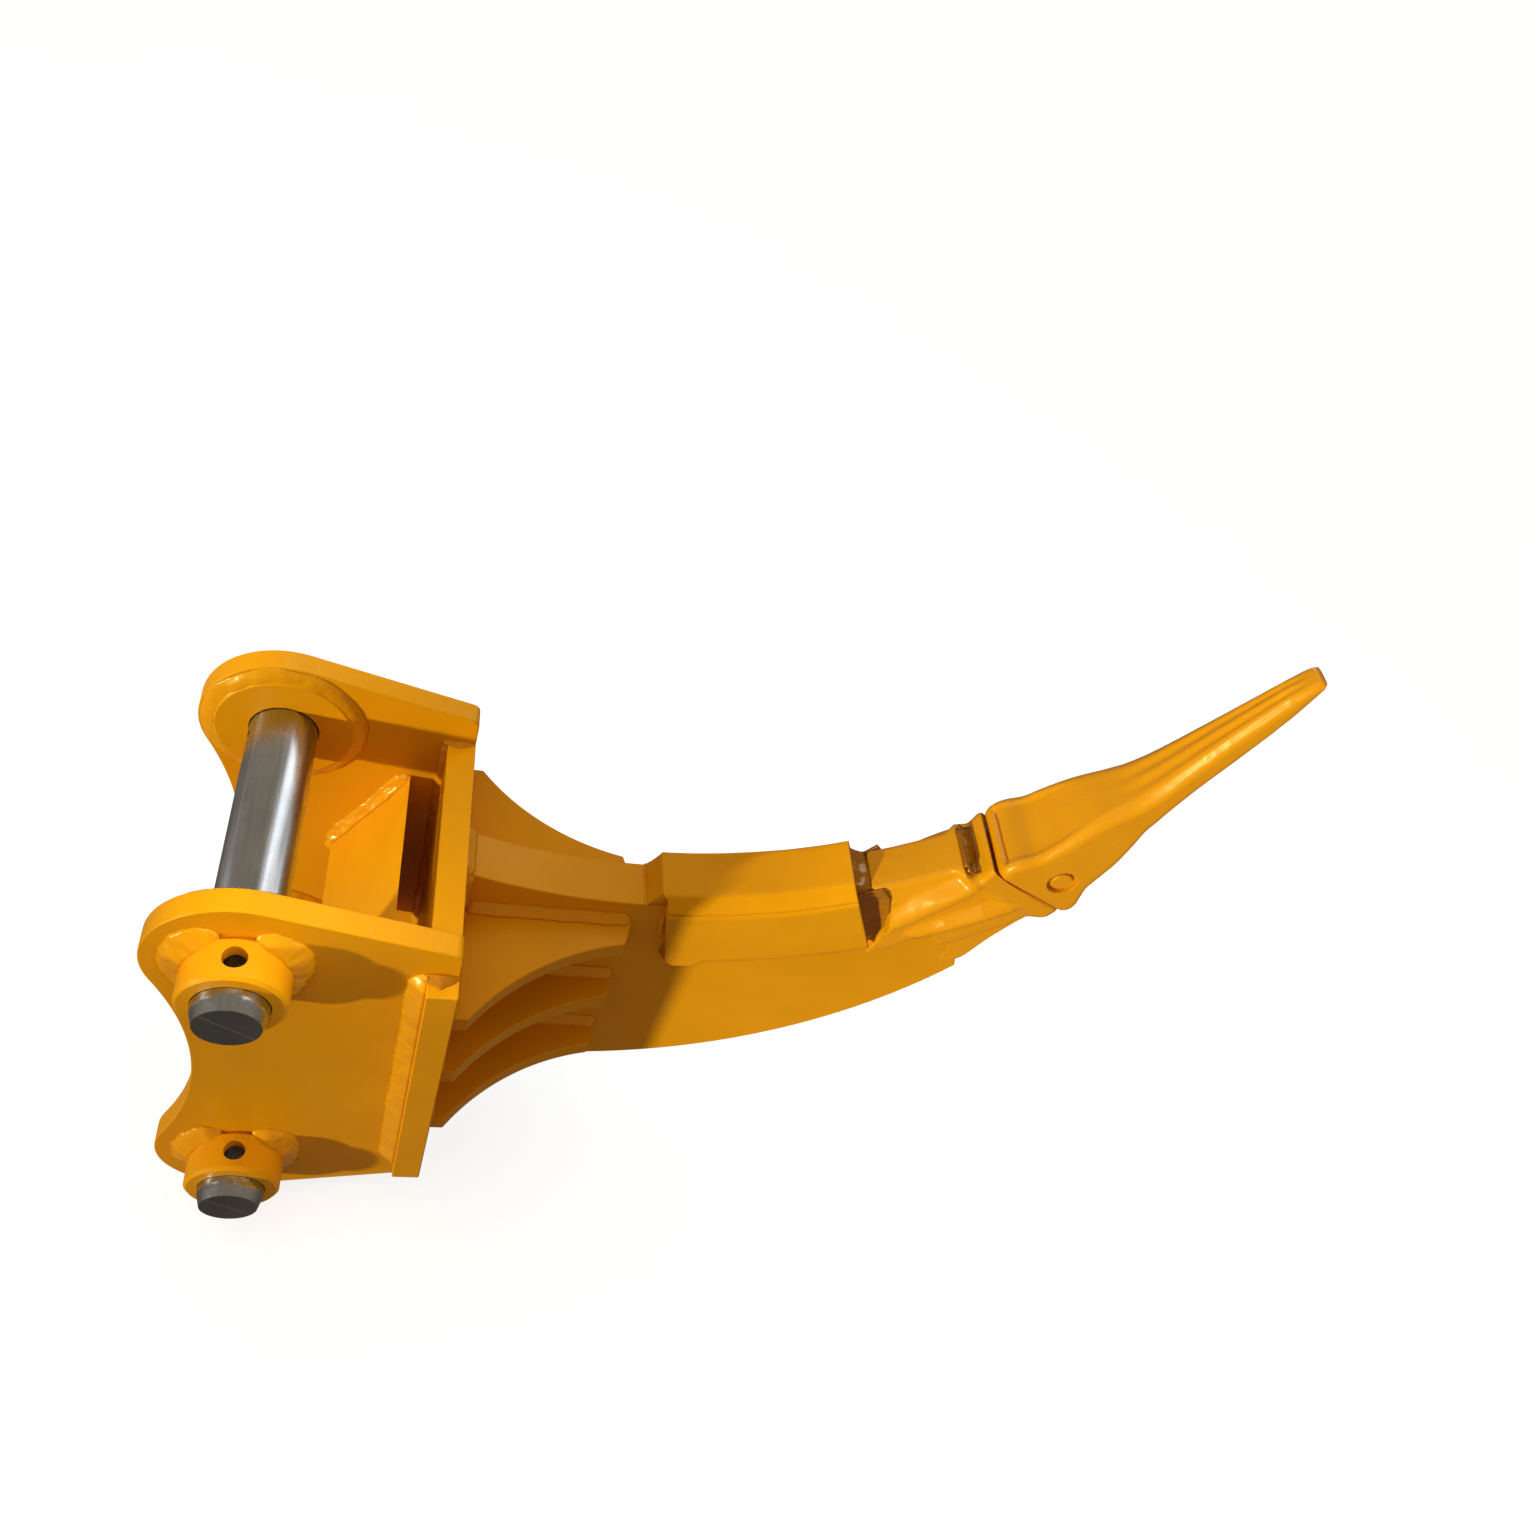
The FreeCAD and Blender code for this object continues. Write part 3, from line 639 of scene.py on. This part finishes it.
def guard_section(degrees):
    """Half section from the middle of the cap out and down, then back up inside the shank."""
    low = guard_low_r(degrees)
    band_top, band_bottom, cheek_top = GUARD_TOP_R + 1.2, GUARD_BAND_R - 1.0, GUARD_BAND_R + 6
    band_half, groove_half = GUARD_TOP_HALF + 0.8, GUARD_BAND_HALF - GUARD_GROOVE
    inside = SHANK_HALF - 3
    rows = [(GUARD_TOP_R, k * GUARD_TOP_HALF / 6) for k in range(6)]
    rows += [(GUARD_TOP_R + 0.2, GUARD_TOP_HALF - 1.2), (band_top, band_half)]
    band_steps, cheek_steps = 8, 14
    for k in range(1, band_steps + 1):
        f = k / band_steps
        rows.append((band_top + (band_bottom - band_top) * f, band_half + (GUARD_BAND_HALF - band_half) * f))
    rows += [(GUARD_BAND_R + 0.4, GUARD_BAND_HALF), (GUARD_BAND_R + 1.2, groove_half)]
    rows += [(GUARD_BAND_R + 3.4, groove_half), (GUARD_BAND_R + 4.4, GUARD_CHEEK_HALF - 0.8)]
    rows += [(cheek_top, GUARD_CHEEK_HALF)]
    for k in range(1, cheek_steps + 1):
        rows.append((cheek_top + (low - 3 - cheek_top) * k / cheek_steps, GUARD_CHEEK_HALF))
    rows += [(low - 1, GUARD_CHEEK_HALF - 0.6), (low, GUARD_CHEEK_HALF - 2.2), (low, inside)]
    rows += [(IN_R + 6, inside), (IN_R + 6, 0.0)]
    return rows


def make_guard():
    """Cap and cheeks in one piece, slightly uneven as if bent and hammered on."""
    rings = []
    steps = 150
    for i in range(steps + 1):
        k = i / steps
        ring = []
        section = guard_section(GUARD_FROM + (GUARD_TO - GUARD_FROM) * k)
        mirrored = [(r, -h) for r, h in section[-2:0:-1]]
        for radius, half in section + mirrored:
            start = guard_start(radius, half)
            degrees = start + (GUARD_TO - start) * k
            wave = 0.5 * blob((degrees * 9, half, radius), 45, 3.0)
            lift = wave if abs(half) > SHANK_HALF else 0.0
            radius += 0.5 * blob((degrees * 9, half * 0.4, 9), 30, 8.0) if radius < IN_R else 0.0
            ring.append(arc_point(radius, degrees, half + math.copysign(lift, half)))
        rings.append(ring)
    piece = make_piece("shin_guard_finished", skin(rings), PLATE_PAINT)
    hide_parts("shin_guard")
    make_guard_slope()


def make_guard_slope():
    """Sloping rear face of the cap, as wide as the shank."""
    rings = []
    across, down = 16, 10
    for i in range(across + 1):
        y = -SHANK_HALF + 2 * SHANK_HALF * i / across
        ring = [arc_point(IN_R + 1, GUARD_FOOT, y), arc_point(IN_R + 1, GUARD_FROM + 0.5, y),
                arc_point(GUARD_TOP_R + 1, GUARD_FROM + 0.5, y)]
        for k in range(down + 1):
            f = k / down
            radius = GUARD_TOP_R + 0.3 + (IN_R - GUARD_TOP_R - 0.3) * f
            degrees = GUARD_SLOPE_TOP - (GUARD_SLOPE_TOP - GUARD_FOOT) * f
            sag = (0.08 + 0.03 * blob((0, y, radius), 14, 12.0)) * math.sin(math.pi * f)
            ring.append(arc_point(radius, degrees + sag, y))
        rings.append(ring)
    make_piece("shin_guard_slope", skin(rings), PLATE_PAINT)


def guard_welds():
    """Beads across the guard's two ends, and the wide run between guard and adapter; the front bead and that
    run are darker orange, as painted shade.
    """
    for name, degrees, way in (("rear", GUARD_FOOT, -1), ("front", GUARD_TO, 1)):
        a = math.radians(degrees)
        forward = Vector((math.cos(a), 0, math.sin(a))) * way
        inward = Vector((-math.sin(a), 0, math.cos(a)))
        start = arc_point(IN_R, degrees, -SHANK_HALF - 1)
        end = arc_point(IN_R, degrees, SHANK_HALF + 1)
        # the front bead gets the darker orange: painted shade
        leg, material = (17, RECESS_SHADE_PAINT) if way > 0 else (3, WELD_PAINT)
        bead(f"guard_weld_{name}_cap", straight(start, end, forward, inward), leg, leg, 41.0 + way,
             rough=2.0, ripple=0.0, crown=-0.05, end_taper=4, material=material)
    for side, sign in SIDES:
        a = math.radians(GUARD_FROM)
        back = Vector((-math.cos(a), 0, -math.sin(a)))
        start = arc_point(IN_R + 20, GUARD_FROM, sign * SHANK_HALF)
        end = arc_point(GUARD_CHEEK_R - 34, GUARD_FROM, sign * SHANK_HALF)
        path = straight(start, end, back, Vector((0, sign, 0)))
        bead(f"guard_weld_rear_{side}", path, 5, 8, 43.0 + sign, rough=1.2, crown=0.05)
        make_gap_weld(side, sign)


GAP_FROM = 25.9
# radius, and angle of the gap's front edge about the concave edge's centre
GAP_ROWS = [(645, 29.2), (662, 29.5), (690, 29.0), (722, 28.4), (752, 27.3)]


def make_gap_weld(side, sign):
    """Lumpy weld that fills the wedge-shaped gap between guard cheek and adapter cheek; its darker orange is
    painted shade.
    """
    rings = []
    steps, across = 46, 14
    for i in range(steps + 1):
        radius = GAP_ROWS[0][0] + (GAP_ROWS[-1][0] - GAP_ROWS[0][0]) * i / steps
        end = curve_through(GAP_ROWS, radius)[0]
        top, low = [], []
        for k in range(across + 1):
            u = k / across
            degrees = GAP_FROM + (end - GAP_FROM) * u
            dish = 2.6 - 2.2 * math.sin(math.pi * u) + 5.5 * u ** 3
            lump = 1.1 * blob((radius, degrees * 11, sign), 9, 3.0)
            lump += 0.5 * blob((radius, degrees * 11, 4), 4, 5.0)
            height = SHANK_HALF + max(0.4, dish + lump)
            top.append(arc_point(radius, degrees, sign * height))
            low.append(arc_point(radius, degrees, sign * (SHANK_HALF - 2)))
        rings.append(top + low[::-1])
    make_piece(f"gap_weld_{side}", skin(rings), RECESS_SHADE_PAINT)


# ---- adapter -----------------------------------------------------------------------------
# crests of the two side ridges: x, z, height above the cheek
RIDGE_ONE = [(764, -56, 6), (780, -24, 12), (802, 10, 15), (830, 42, 15), (850, 68, 13), (860, 84, 9)]
RIDGE_TWO = [(821, -42, 6), (851, -14, 12), (891, 19, 14), (920, 35, 10)]
# outline of the cheeks that lie on the shank's sides: x, z
CHEEK = [
    (733, 30), (757, 20), (765, 0), (772, -40), (771, -66), (763, -92), (770, -106), (788, -90),
    (819, -62), (845, -52), (861, -70), (880, -58), (901, -40), (930, -14), (950, 6),
    (965, 40), (900, 110), (834, 96), (776, 60),
]
CHEEK_PROUD = 9.0
SHOULDER_BACK, SHOULDER_HALF = -26.0, 50.0   # the shoulder's rear along the tooth's axis, half width
LEG_FROM, LEG_SPAN = 27.8, 10.6              # the top leg lies on the concave edge: degrees
LEG_SHARE = 0.58                             # of the upper outline
VALLEY_X, VALLEY_Z = 838.0, 98.0             # where the weld bed meets the top leg


def to_segment(x, z, start, end):
    """Share along a segment of its nearest point to (x, z), the distance to it, and the side."""
    x0, z0, x1, z1 = *start[:2], *end[:2]
    dx, dz = x1 - x0, z1 - z0
    k = max(0.0, min(1.0, ((x - x0) * dx + (z - z0) * dz) / (dx * dx + dz * dz)))
    return k, math.hypot(x - x0 - k * dx, z - z0 - k * dz), (x - x0) * dz - (z - z0) * dx


def crest_profile(x, z, crest, above, below):
    """Height of a ridge at (x, z): full on its crest, falling to 0 at the widths to each side."""
    nearest = math.inf
    for start, end in zip(crest, crest[1:]):
        k, away, side = to_segment(x, z, start, end)
        if away < nearest:
            nearest = away
            height = start[2] + k * (end[2] - start[2])
            width = below if side > 0 else above
    return height * (1 - smooth_step(nearest, 0.12 * width, width))


def inside_cheek(x, z):
    """Distance inside the cheek's outline, negative outside."""
    inside = False
    nearest = math.inf
    for start, end in zip(CHEEK, CHEEK[1:] + CHEEK[:1]):
        (x0, z0), (x1, z1) = start, end
        if (z0 > z) != (z1 > z) and x < x0 + (z - z0) / (z1 - z0) * (x1 - x0):
            inside = not inside
        nearest = min(nearest, to_segment(x, z, start, end)[1])
    return nearest if inside else -nearest


def tooth_axes(x, z):
    """Distances (s, t) along and across the tooth's axis: the reverse of tooth_point."""
    dx, dz = x - TOOTH_X, z - TOOTH_Z
    s = dx * math.cos(TOOTH_ANGLE) + dz * math.sin(TOOTH_ANGLE)
    t = dz * math.cos(TOOTH_ANGLE) - dx * math.sin(TOOTH_ANGLE)
    return s, t


def adapter_half(x, z):
    """Half width of the casting at a point of its side view."""
    s, t = tooth_axes(x, z)
    cheek = smooth_step(inside_cheek(x, z), -1.5, 4.5)
    beyond_shank = smooth_step(x, 868, 884)
    hidden = SHANK_HALF - 4
    half = hidden + 4.2 * beyond_shank
    half += (SHANK_HALF + CHEEK_PROUD - half) * cheek
    half += crest_profile(x, z, RIDGE_ONE, 30, 13) * cheek
    half += crest_profile(x, z, RIDGE_TWO, 21, 12) * cheek
    # the top leg keeps the shank's width along its upper edge
    depth = math.hypot(x - IN_X, z - IN_Z) - IN_R
    upper = 1 - smooth_step(depth, 2, 30)
    leg = upper * (1 - smooth_step(s, SHOULDER_BACK - 22, SHOULDER_BACK - 6))
    half += (min(half, SHANK_HALF + 0.8) - half) * leg
    shoulder = smooth_step(s, SHOULDER_BACK - 30 + 22 * upper, SHOULDER_BACK + 4)
    half += (max(SHOULDER_HALF, half) - half) * shoulder
    # the shoulder's lower part draws in below the tooth's side
    return half - 8 * smooth_step(-t, 56, 76) * shoulder


def adapter_top(k):
    """Upper outline, from the rear of the top leg over the weld valley and the shoulder."""
    if k < LEG_SHARE:
        point = arc_point(IN_R, LEG_FROM + LEG_SPAN * k / LEG_SHARE, 0)
        return point.x, point.z
    rows = [(0.0, 834, 94), (0.10, 844, 88), (0.34, 855, 90), (0.48, 859, 99), (0.62, 861, 107),
            (0.78, 863, 112), (0.9, 866, 113), (1.0, 868, 107)]
    return curve_through(rows, (k - LEG_SHARE) / (1 - LEG_SHARE))


def adapter_low(k):
    """Lower outline: hidden in the shank, then out along its front end to the shoulder's foot."""
    rows = [(0.0, 752, -112), (0.2, 815, -112), (0.36, 880, -122), (0.46, 910, -110), (0.6, 929, -68),
            (0.74, 949, -27), (0.84, 965, 0), (0.91, 978, 14), (0.97, 989, 31), (1.0, 991, 44)]
    return curve_through(rows, k)


def adapter_ring(k, across):
    """One section, from low to high on the near side and back on the far side."""
    x0, z0 = adapter_low(k)
    x1, z1 = adapter_top(k)
    height = math.hypot(x1 - x0, z1 - z0)
    front = 2.5 * smooth_step(k, 0.985, 1.0)
    near, far = [], []
    for j in range(across + 1):
        f = j / across
        x, z = x0 + (x1 - x0) * f, z0 + (z1 - z0) * f
        half = adapter_half(x, z) - front
        half -= 3.5 * (1 - smooth_step((1 - f) * height, 0, 7)) ** 2
        half -= 5 * (1 - smooth_step(f * height, 0, 8)) ** 2
        half += 0.4 * blob((x, half, z), 16, 2.0)
        near.append(Vector((x, -half, z)))
        far.append(Vector((x, half, z)))
    top_half = far[-1].y
    top = []
    for j in range(1, 12):
        y = -top_half + 2 * top_half * j / 12
        lift = 1.2 * (1 - (y / top_half) ** 2)
        top.append(Vector((near[-1].x - 0.4 * lift, y, near[-1].z + lift + 0.4 * blob((x1, y, z1), 11, 4.0))))
    return near + top + far[::-1]


def make_adapter():
    """Casting whose rings sweep from the rear of its top leg to the shoulder, and its nose."""
    steps, across = 170, 84
    rings = [adapter_ring(i / steps, across) for i in range(steps + 1)]
    piece = make_piece("adapter_finished", skin(rings), CAST_PAINT)
    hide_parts("adapter")
    make_nose()
    adapter_welds()


# s, lowest t, highest t, half width
NOSE = [(-7, -50, 50, 40), (70, -36, 36, 31), (140, -20, 14, 18)]


def nose_sections(gap, start, end):
    """Rings round the nose, larger by a gap, held between two places along the tooth."""
    rings = []
    for s, low, high, half in NOSE:
        s = min(max(s, start), end)
        corners = boxed(low - gap, high + gap, half + gap, 8, 8)
        rings.append([tooth_point(s, t, y) for t, y in rounded(corners, 3.0, 3)])
    return rings


def make_nose():
    """Nose inside the tooth, with the lock pin's hole and the retainer's seat."""
    piece = make_piece("adapter_nose", skin(nose_sections(0.0, -7, 140)), CAST_PAINT)
    centre = tooth_point(LOCK_S, LOCK_T, 0)
    cut(piece, cylinder(centre, LOCK_HOLE_R, -60, 60))
    cut(piece, cylinder(centre, RETAINER_SEAT_R, -RETAINER_SEAT_HALF, RETAINER_SEAT_HALF))


def adapter_welds():
    """Bead in the valley between the top leg and the shoulder, and the bed it lies on, both darker orange as
    painted shade.
    """
    start = Vector((VALLEY_X - 2, -SHANK_HALF + 1, VALLEY_Z - 3))
    end = Vector((VALLEY_X - 2, SHANK_HALF - 1, VALLEY_Z - 3))
    back = Vector((0.85, 0, 0.30))
    down = Vector((0.55, 0, -0.75))
    bead("adapter_weld_valley", straight(start, end, back, down), 16, 3, 51.0, rough=2.4, ripple=0.0,
         end_taper=6, material=RECESS_SHADE_PAINT)
    rings = []
    steps, across = 40, 8
    for i in range(steps + 1):
        y = -SHANK_HALF - 4 + (2 * SHANK_HALF + 8) * i / steps
        ring = []
        for k in range(across + 1):
            u = k / across
            x = VALLEY_X + 21 * u
            z = VALLEY_Z - 9.5 * math.sin(math.pi * min(u * 1.25, 1.0) / 2) + 7 * smooth_step(u, 0.55, 1.0)
            z += 1.6 + 1.3 * blob((x, y, z), 8, 21.0)
            ring.append(Vector((x, y, z)))
        ring += [Vector((VALLEY_X + 17, y, VALLEY_Z - 16)), Vector((VALLEY_X + 4, y, VALLEY_Z - 16))]
        rings.append(ring)
    make_piece("adapter_weld_bed", skin(rings), RECESS_SHADE_PAINT)


# ---- tooth -------------------------------------------------------------------------------
# s, lowest t, highest t, half width, chamfer beside the top face
TOOTH = [
    (0, -65, 67, 54, 8), (8, -69, 70, 56.5, 8), (20, -69, 71, 56.5, 8), (34, -61, 66, 56.5, 8),
    (52, -52, 54, 55.5, 8), (80, -49, 48, 53.5, 8), (108, -47, 44, 50, 9), (136, -42, 38, 45.5, 10),
    (160, -36, 29, 42, 10), (185, -33, 19, 39.5, 9), (215, -30, 14, 36.5, 8.5), (250, -28, 13, 32.5, 8),
    (325, -24, 12, 25.5, 7), (387, -17, 10, 21, 6), (425, -10, 8, 18, 5), (442, -7, 5, 16.5, 5),
]
TOOTH_LEN = 442.0
RIM_END = 15.0               # the raised rim at the rear ends here
# parts that the four flat sides of a rounded section are split into, by the point they start at
SIDE_PARTS = {4: 22, 14: 22, 24: 12, 34: 22}


def boxed(low, high, half, top_cut, low_cut):
    """Corners (t, y) of a box section with its four corners cut."""
    return [
        (high, -(half - top_cut)), (high, half - top_cut), (high - top_cut, half), (low + low_cut, half),
        (low, half - low_cut), (low, -(half - low_cut)), (low + low_cut, -half), (high - top_cut, -half),
    ]


def rounded(corners, radius, steps):
    """Replace every corner by a small curve of steps + 1 points."""
    out = []
    count = len(corners)
    for i, corner in enumerate(corners):
        c = Vector(corner)
        before, after = Vector(corners[i - 1]), Vector(corners[(i + 1) % count])
        reach_a = min(radius, (before - c).length * 0.45)
        reach_b = min(radius, (after - c).length * 0.45)
        a = c + (before - c).normalized() * reach_a
        b = c + (after - c).normalized() * reach_b
        for k in range(steps + 1):
            f = k / steps
            out.append(tuple(a * (1 - f) ** 2 + c * 2 * f * (1 - f) + b * f * f))
    return out


def densify(section, side_parts):
    """Split the long flat edges so that the surface can be shaped."""
    out = []
    for i, a in enumerate(section):
        b = section[(i + 1) % len(section)]
        out.append(a)
        parts = side_parts.get(i, 1)
        for k in range(1, parts):
            f = k / parts
            out.append((a[0] + (b[0] - a[0]) * f, a[1] + (b[1] - a[1]) * f))
    return out


def tooth_shape(s, t, y, high, half):
    """Cast details: the raised rim, the sunk panel on the top face, and small unevenness."""
    t_out, y_out = t, y
    on_top = smooth_step(t, high - 3.0, high - 0.5)
    if on_top > 0:
        across = 1 - smooth_step(abs(y), half - 16, half - 10)
        along = smooth_step(s, RIM_END, RIM_END + 2.0) * (1 - smooth_step(s, 70, 150))
        t_out -= 3.0 * across * along * on_top
        groove = smooth_step(s, RIM_END - 1, RIM_END + 1) * (1 - smooth_step(s, RIM_END + 2, RIM_END + 6))
        t_out -= 4.5 * across * groove * on_top
        spear = smooth_step(s, 150, 220) * (1 - smooth_step(s, 400, 436))
        crown = 3.0 * (1 - (y / half) ** 2)
        flutes = 1.1 * math.cos(y / half * math.pi * 3.5)
        t_out += (crown + flutes) * spear * on_top
    uneven = 0.35 * blob((s, t, y), 14, 6.0) + 0.15 * blob((s, t, y), 4, 1.0)
    y_out += math.copysign(uneven, y) if abs(y) > half * 0.6 else 0.0
    t_out += uneven if on_top > 0 else 0.0
    return t_out, y_out


def make_tooth():
    """Casting with a sunk end face, cut out for the adapter's nose and the lock pin."""
    rings = []
    stations = [0.0, 0.8, 2.0]
    stations += [4.0 + 1.5 * i for i in range(20)]
    stations += [34 + (TOOTH_LEN - 34) * i / 110 for i in range(1, 111)]
    for s in stations:
        low, high, half, top_cut = curve_through(TOOTH, s)
        low_cut = 7 + 3 * smooth_step(s, 0, 200) - 5 * smooth_step(s, 200, TOOTH_LEN)
        pull = 1.6 * (1 - smooth_step(s, 0, 2.0)) + 2.0 * smooth_step(s, TOOTH_LEN - 5, TOOTH_LEN)
        corners = boxed(low + pull, high - pull, half - pull, top_cut, low_cut)
        section = rounded(corners, 6.0, 4)
        section = densify(section, SIDE_PARTS)
        rings.append([tooth_point(s, *tooth_shape(s, t, y, high - pull, half)) for t, y in section])
    tip = rings[-1]
    middle = sum(tip, Vector()) / len(tip)
    sunk = tooth_point(0, 0, 0) - tooth_point(1.6, 0, 0)
    rings.append([middle + (p - middle) * 0.78 for p in tip])
    rings.append([middle + (p - middle) * 0.68 + sunk for p in tip])
    piece = make_piece("tooth_finished", skin(rings), CAST_PAINT)
    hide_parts("tooth")
    cut(piece, skin(nose_sections(1.5, -20, 140)))
    centre = tooth_point(LOCK_S, LOCK_T, 0)
    beyond = 70.0
    cut(piece, cylinder(centre, LOCK_HOLE_R, -beyond, beyond))
    for y0, y1 in ((-beyond, -LOCK_RECESS_Y), (LOCK_RECESS_Y, beyond)):
        cut(piece, cylinder(centre, LOCK_RECESS_R, y0, y1))


# ---- stage -------------------------------------------------------------------------------
# metres, degrees and millimetres
CAMERA_AT = (0.1244, -1.0201, 1.3380)
CAMERA_ANGLES = (42.627, -16.902, -6.071)
CAMERA_LENS = 32.0
CAMERA_SHIFT = (-0.0191, -0.0084)
# suns: direction of travel and strength; sun_for says what each one lights
SUNS = {
    "key": ((0.86, 0.51, -0.03), 3.65),
    "key_near": ((0.88, 0.47, -0.10), 2.15),
    "key_far": ((0.88, 0.47, -0.10), 2.9),
    "key_front": ((0.68, 0.74, -0.02), 2.85),
}
SUN_COLOR = (1.0, 0.97, 0.88)
# soft lights: place, point they look at, width, height, power, and the light group they light
SOFT_LIGHTS = {
    "overhead": ((-0.25, 0.0, 2.5), (0.5, 0.0, 0.0), 2.4, 2.4, 9.5, "paint"),
    "near_softbox": ((0.05, -0.25, 0.42), (0.05, -0.15, 0.0), 0.25, 0.25, 1.3, "near_ear"),
    "far_softbox": ((0.05, 0.30, 0.38), (0.05, 0.20, 0.0), 0.2, 0.2, 0.45, "far_ear"),
    "collar_box": ((0.90, -0.60, 0.50), (0.0, -0.22, -0.15), 0.5, 0.5, 2.6, "collars"),
    "pin_strip": ((1.13, 1.21, 1.12), (0.0, 0.0, 0.0), 0.35, 1.7, 5.0, "all"),
    "stub_strip_right": ((1.35, 0.70, 0.85), (0.0, -0.25, 0.0), 0.25, 1.4, 2.6, "steel"),
    "stub_strip_left": ((-1.40, 0.55, 0.05), (0.0, -0.25, 0.0), 0.25, 1.4, 2.4, "steel"),
}
SKY_COLOR = (1.0, 0.80, 0.57)
# height, from 0 straight down to 1 straight up, and the sky's strength there
SKY_STOPS = ((0.15, 0.13), (0.5, 0.29), (0.7, 0.36))

# pieces, by the start of their names, that have lights of their own
BRACKET_NAMES = ("ear_plate", "base_plate", "brace", "hook_weld", "stick_", "link_")
COLLAR_NAMES = ("stick_pin_collar", "link_pin_collar", "stick_collar", "link_collar")
NEAR_EAR_NAMES = COLLAR_NAMES + ("ear_plate_near", "ear_plate_weld_outer_near", "base_plate", "brace")
FAR_EAR_NAMES = ("ear_plate_far", "stick_disc_far", "link_disc_far", "stick_disc_weld_far",
                 "link_disc_weld_far")
NAMED_GROUPS = {"near_ear": NEAR_EAR_NAMES, "far_ear": FAR_EAR_NAMES, "collars": COLLAR_NAMES}
LIGHT_GROUPS = ("paint", "steel", *NAMED_GROUPS)


def make_camera():
    data = bpy.data.cameras.new("camera")
    data.lens = CAMERA_LENS
    data.sensor_width = 36.0
    data.shift_x, data.shift_y = CAMERA_SHIFT
    data.clip_end = 60.0
    camera = bpy.data.objects.new("camera", data)
    camera.location = CAMERA_AT
    camera.rotation_euler = [math.radians(a) for a in CAMERA_ANGLES]
    bpy.context.scene.collection.objects.link(camera)
    bpy.context.scene.camera = camera


def make_floor():
    """Pale floor just under the lowest point; it doesn't throw light back at the part."""
    size = 14.0
    z = cad_low.z - 0.004
    mesh = bpy.data.meshes.new("floor")
    corners = [(-size, -size, z), (size, -size, z), (size, size, z), (-size, size, z)]
    mesh.from_pydata(corners, [], [(0, 1, 2, 3)])
    floor = bpy.data.objects.new("floor", mesh)
    bpy.context.scene.collection.objects.link(floor)
    material, tree, shader, coords = new_material("pale_floor")
    tone = ramp(tree, add_noise(tree, coords, 3.0), 0.3, 0.7, (0.90, 0.90, 0.90), (0.93, 0.93, 0.93))
    set_inputs(tree, shader, {
        "Base Color": tone,
        "Roughness": 0.9,
        "Emission Color": (0.86, 0.95, 1.0, 1),
        "Emission Strength": 0.78,
    })
    mesh.materials.append(material)
    floor.visible_diffuse = False
    floor.visible_glossy = False


def sun_for(name):
    """The sun that lights a piece: far ear, bracket, shank and front end each have one."""
    if name.startswith(FAR_EAR_NAMES):
        return "key_far"
    if name.startswith(BRACKET_NAMES):
        return "key_near"
    if name.startswith(("adapter", "tooth")):
        return "key_front"
    return "key"


def make_sky():
    """Warm grey surroundings, brighter from above than from below."""
    world = bpy.data.worlds.new("studio")
    world.use_nodes = True
    tree = world.node_tree
    direction = add_node(tree, "TexCoord", {}).outputs["Generated"]
    rise = split_xyz(tree, direction)["Z"]
    height = add_node(tree, "MapRange", {"Value": rise, "From Min": -1.0}).outputs["Result"]
    levels = add_node(tree, "ValToRGB", {"Fac": height})
    levels.color_ramp.elements.new(0.5)
    for stop, (place, level) in zip(levels.color_ramp.elements, SKY_STOPS):
        stop.position = place
        stop.color = (level, level, level, 1)
    background = {"Color": (*SKY_COLOR, 1), "Strength": levels.outputs["Color"]}
    set_inputs(tree, tree.nodes["Background"], background)
    bpy.context.scene.world = world


def groups_of(piece):
    """Light groups of a piece: its sun, its finish, and the named groups it is in."""
    groups = [] if piece.name == "floor" else [sun_for(piece.name)]
    groups.append("steel" if PIN_STEEL.name in piece.data.materials else "paint")
    groups += [group for group, names in NAMED_GROUPS.items() if piece.name.startswith(names)]
    return groups


def add_light(data, place, direction, receivers):
    """Light that points along a direction and lights only its receivers, if it has any."""
    light = bpy.data.objects.new(data.name, data)
    light.location = place
    light.rotation_euler = Vector(direction).to_track_quat("-Z", "Y").to_euler()
    if receivers:
        light.light_linking.receiver_collection = receivers
    bpy.context.scene.collection.objects.link(light)


def make_lights():
    """Suns at slightly different angles for bracket, shank and tooth, as from a row of lamps."""
    lit = {name: bpy.data.collections.new(name) for name in SUNS}
    lit.update({name: bpy.data.collections.new(f"lit_{name}") for name in LIGHT_GROUPS})
    for piece in [item for item in bpy.data.objects if item.type == "MESH"]:
        for group in groups_of(piece):
            lit[group].objects.link(piece)
    for name, (direction, strength) in SUNS.items():
        sun = bpy.data.lights.new(name, "SUN")
        sun.energy = strength
        sun.angle = math.radians(2.5)
        sun.color = SUN_COLOR
        add_light(sun, (0, 0, 0), direction, lit[name])
    for name, (place, target, width, height, power, group) in SOFT_LIGHTS.items():
        box = bpy.data.lights.new(name, "AREA")
        box.shape = "RECTANGLE"
        box.energy = power
        box.size, box.size_y = width, height
        add_light(box, place, Vector(target) - Vector(place), lit.get(group))


finish_plates()
collar_welds()
disc_welds()
ear_plate_welds()
brace_welds()
shank_welds()
rib_welds()
make_guard()
guard_welds()
make_adapter()
make_tooth()
make_camera()
make_floor()
make_sky()
make_lights()
bpy.context.scene.view_settings.view_transform = "Standard"
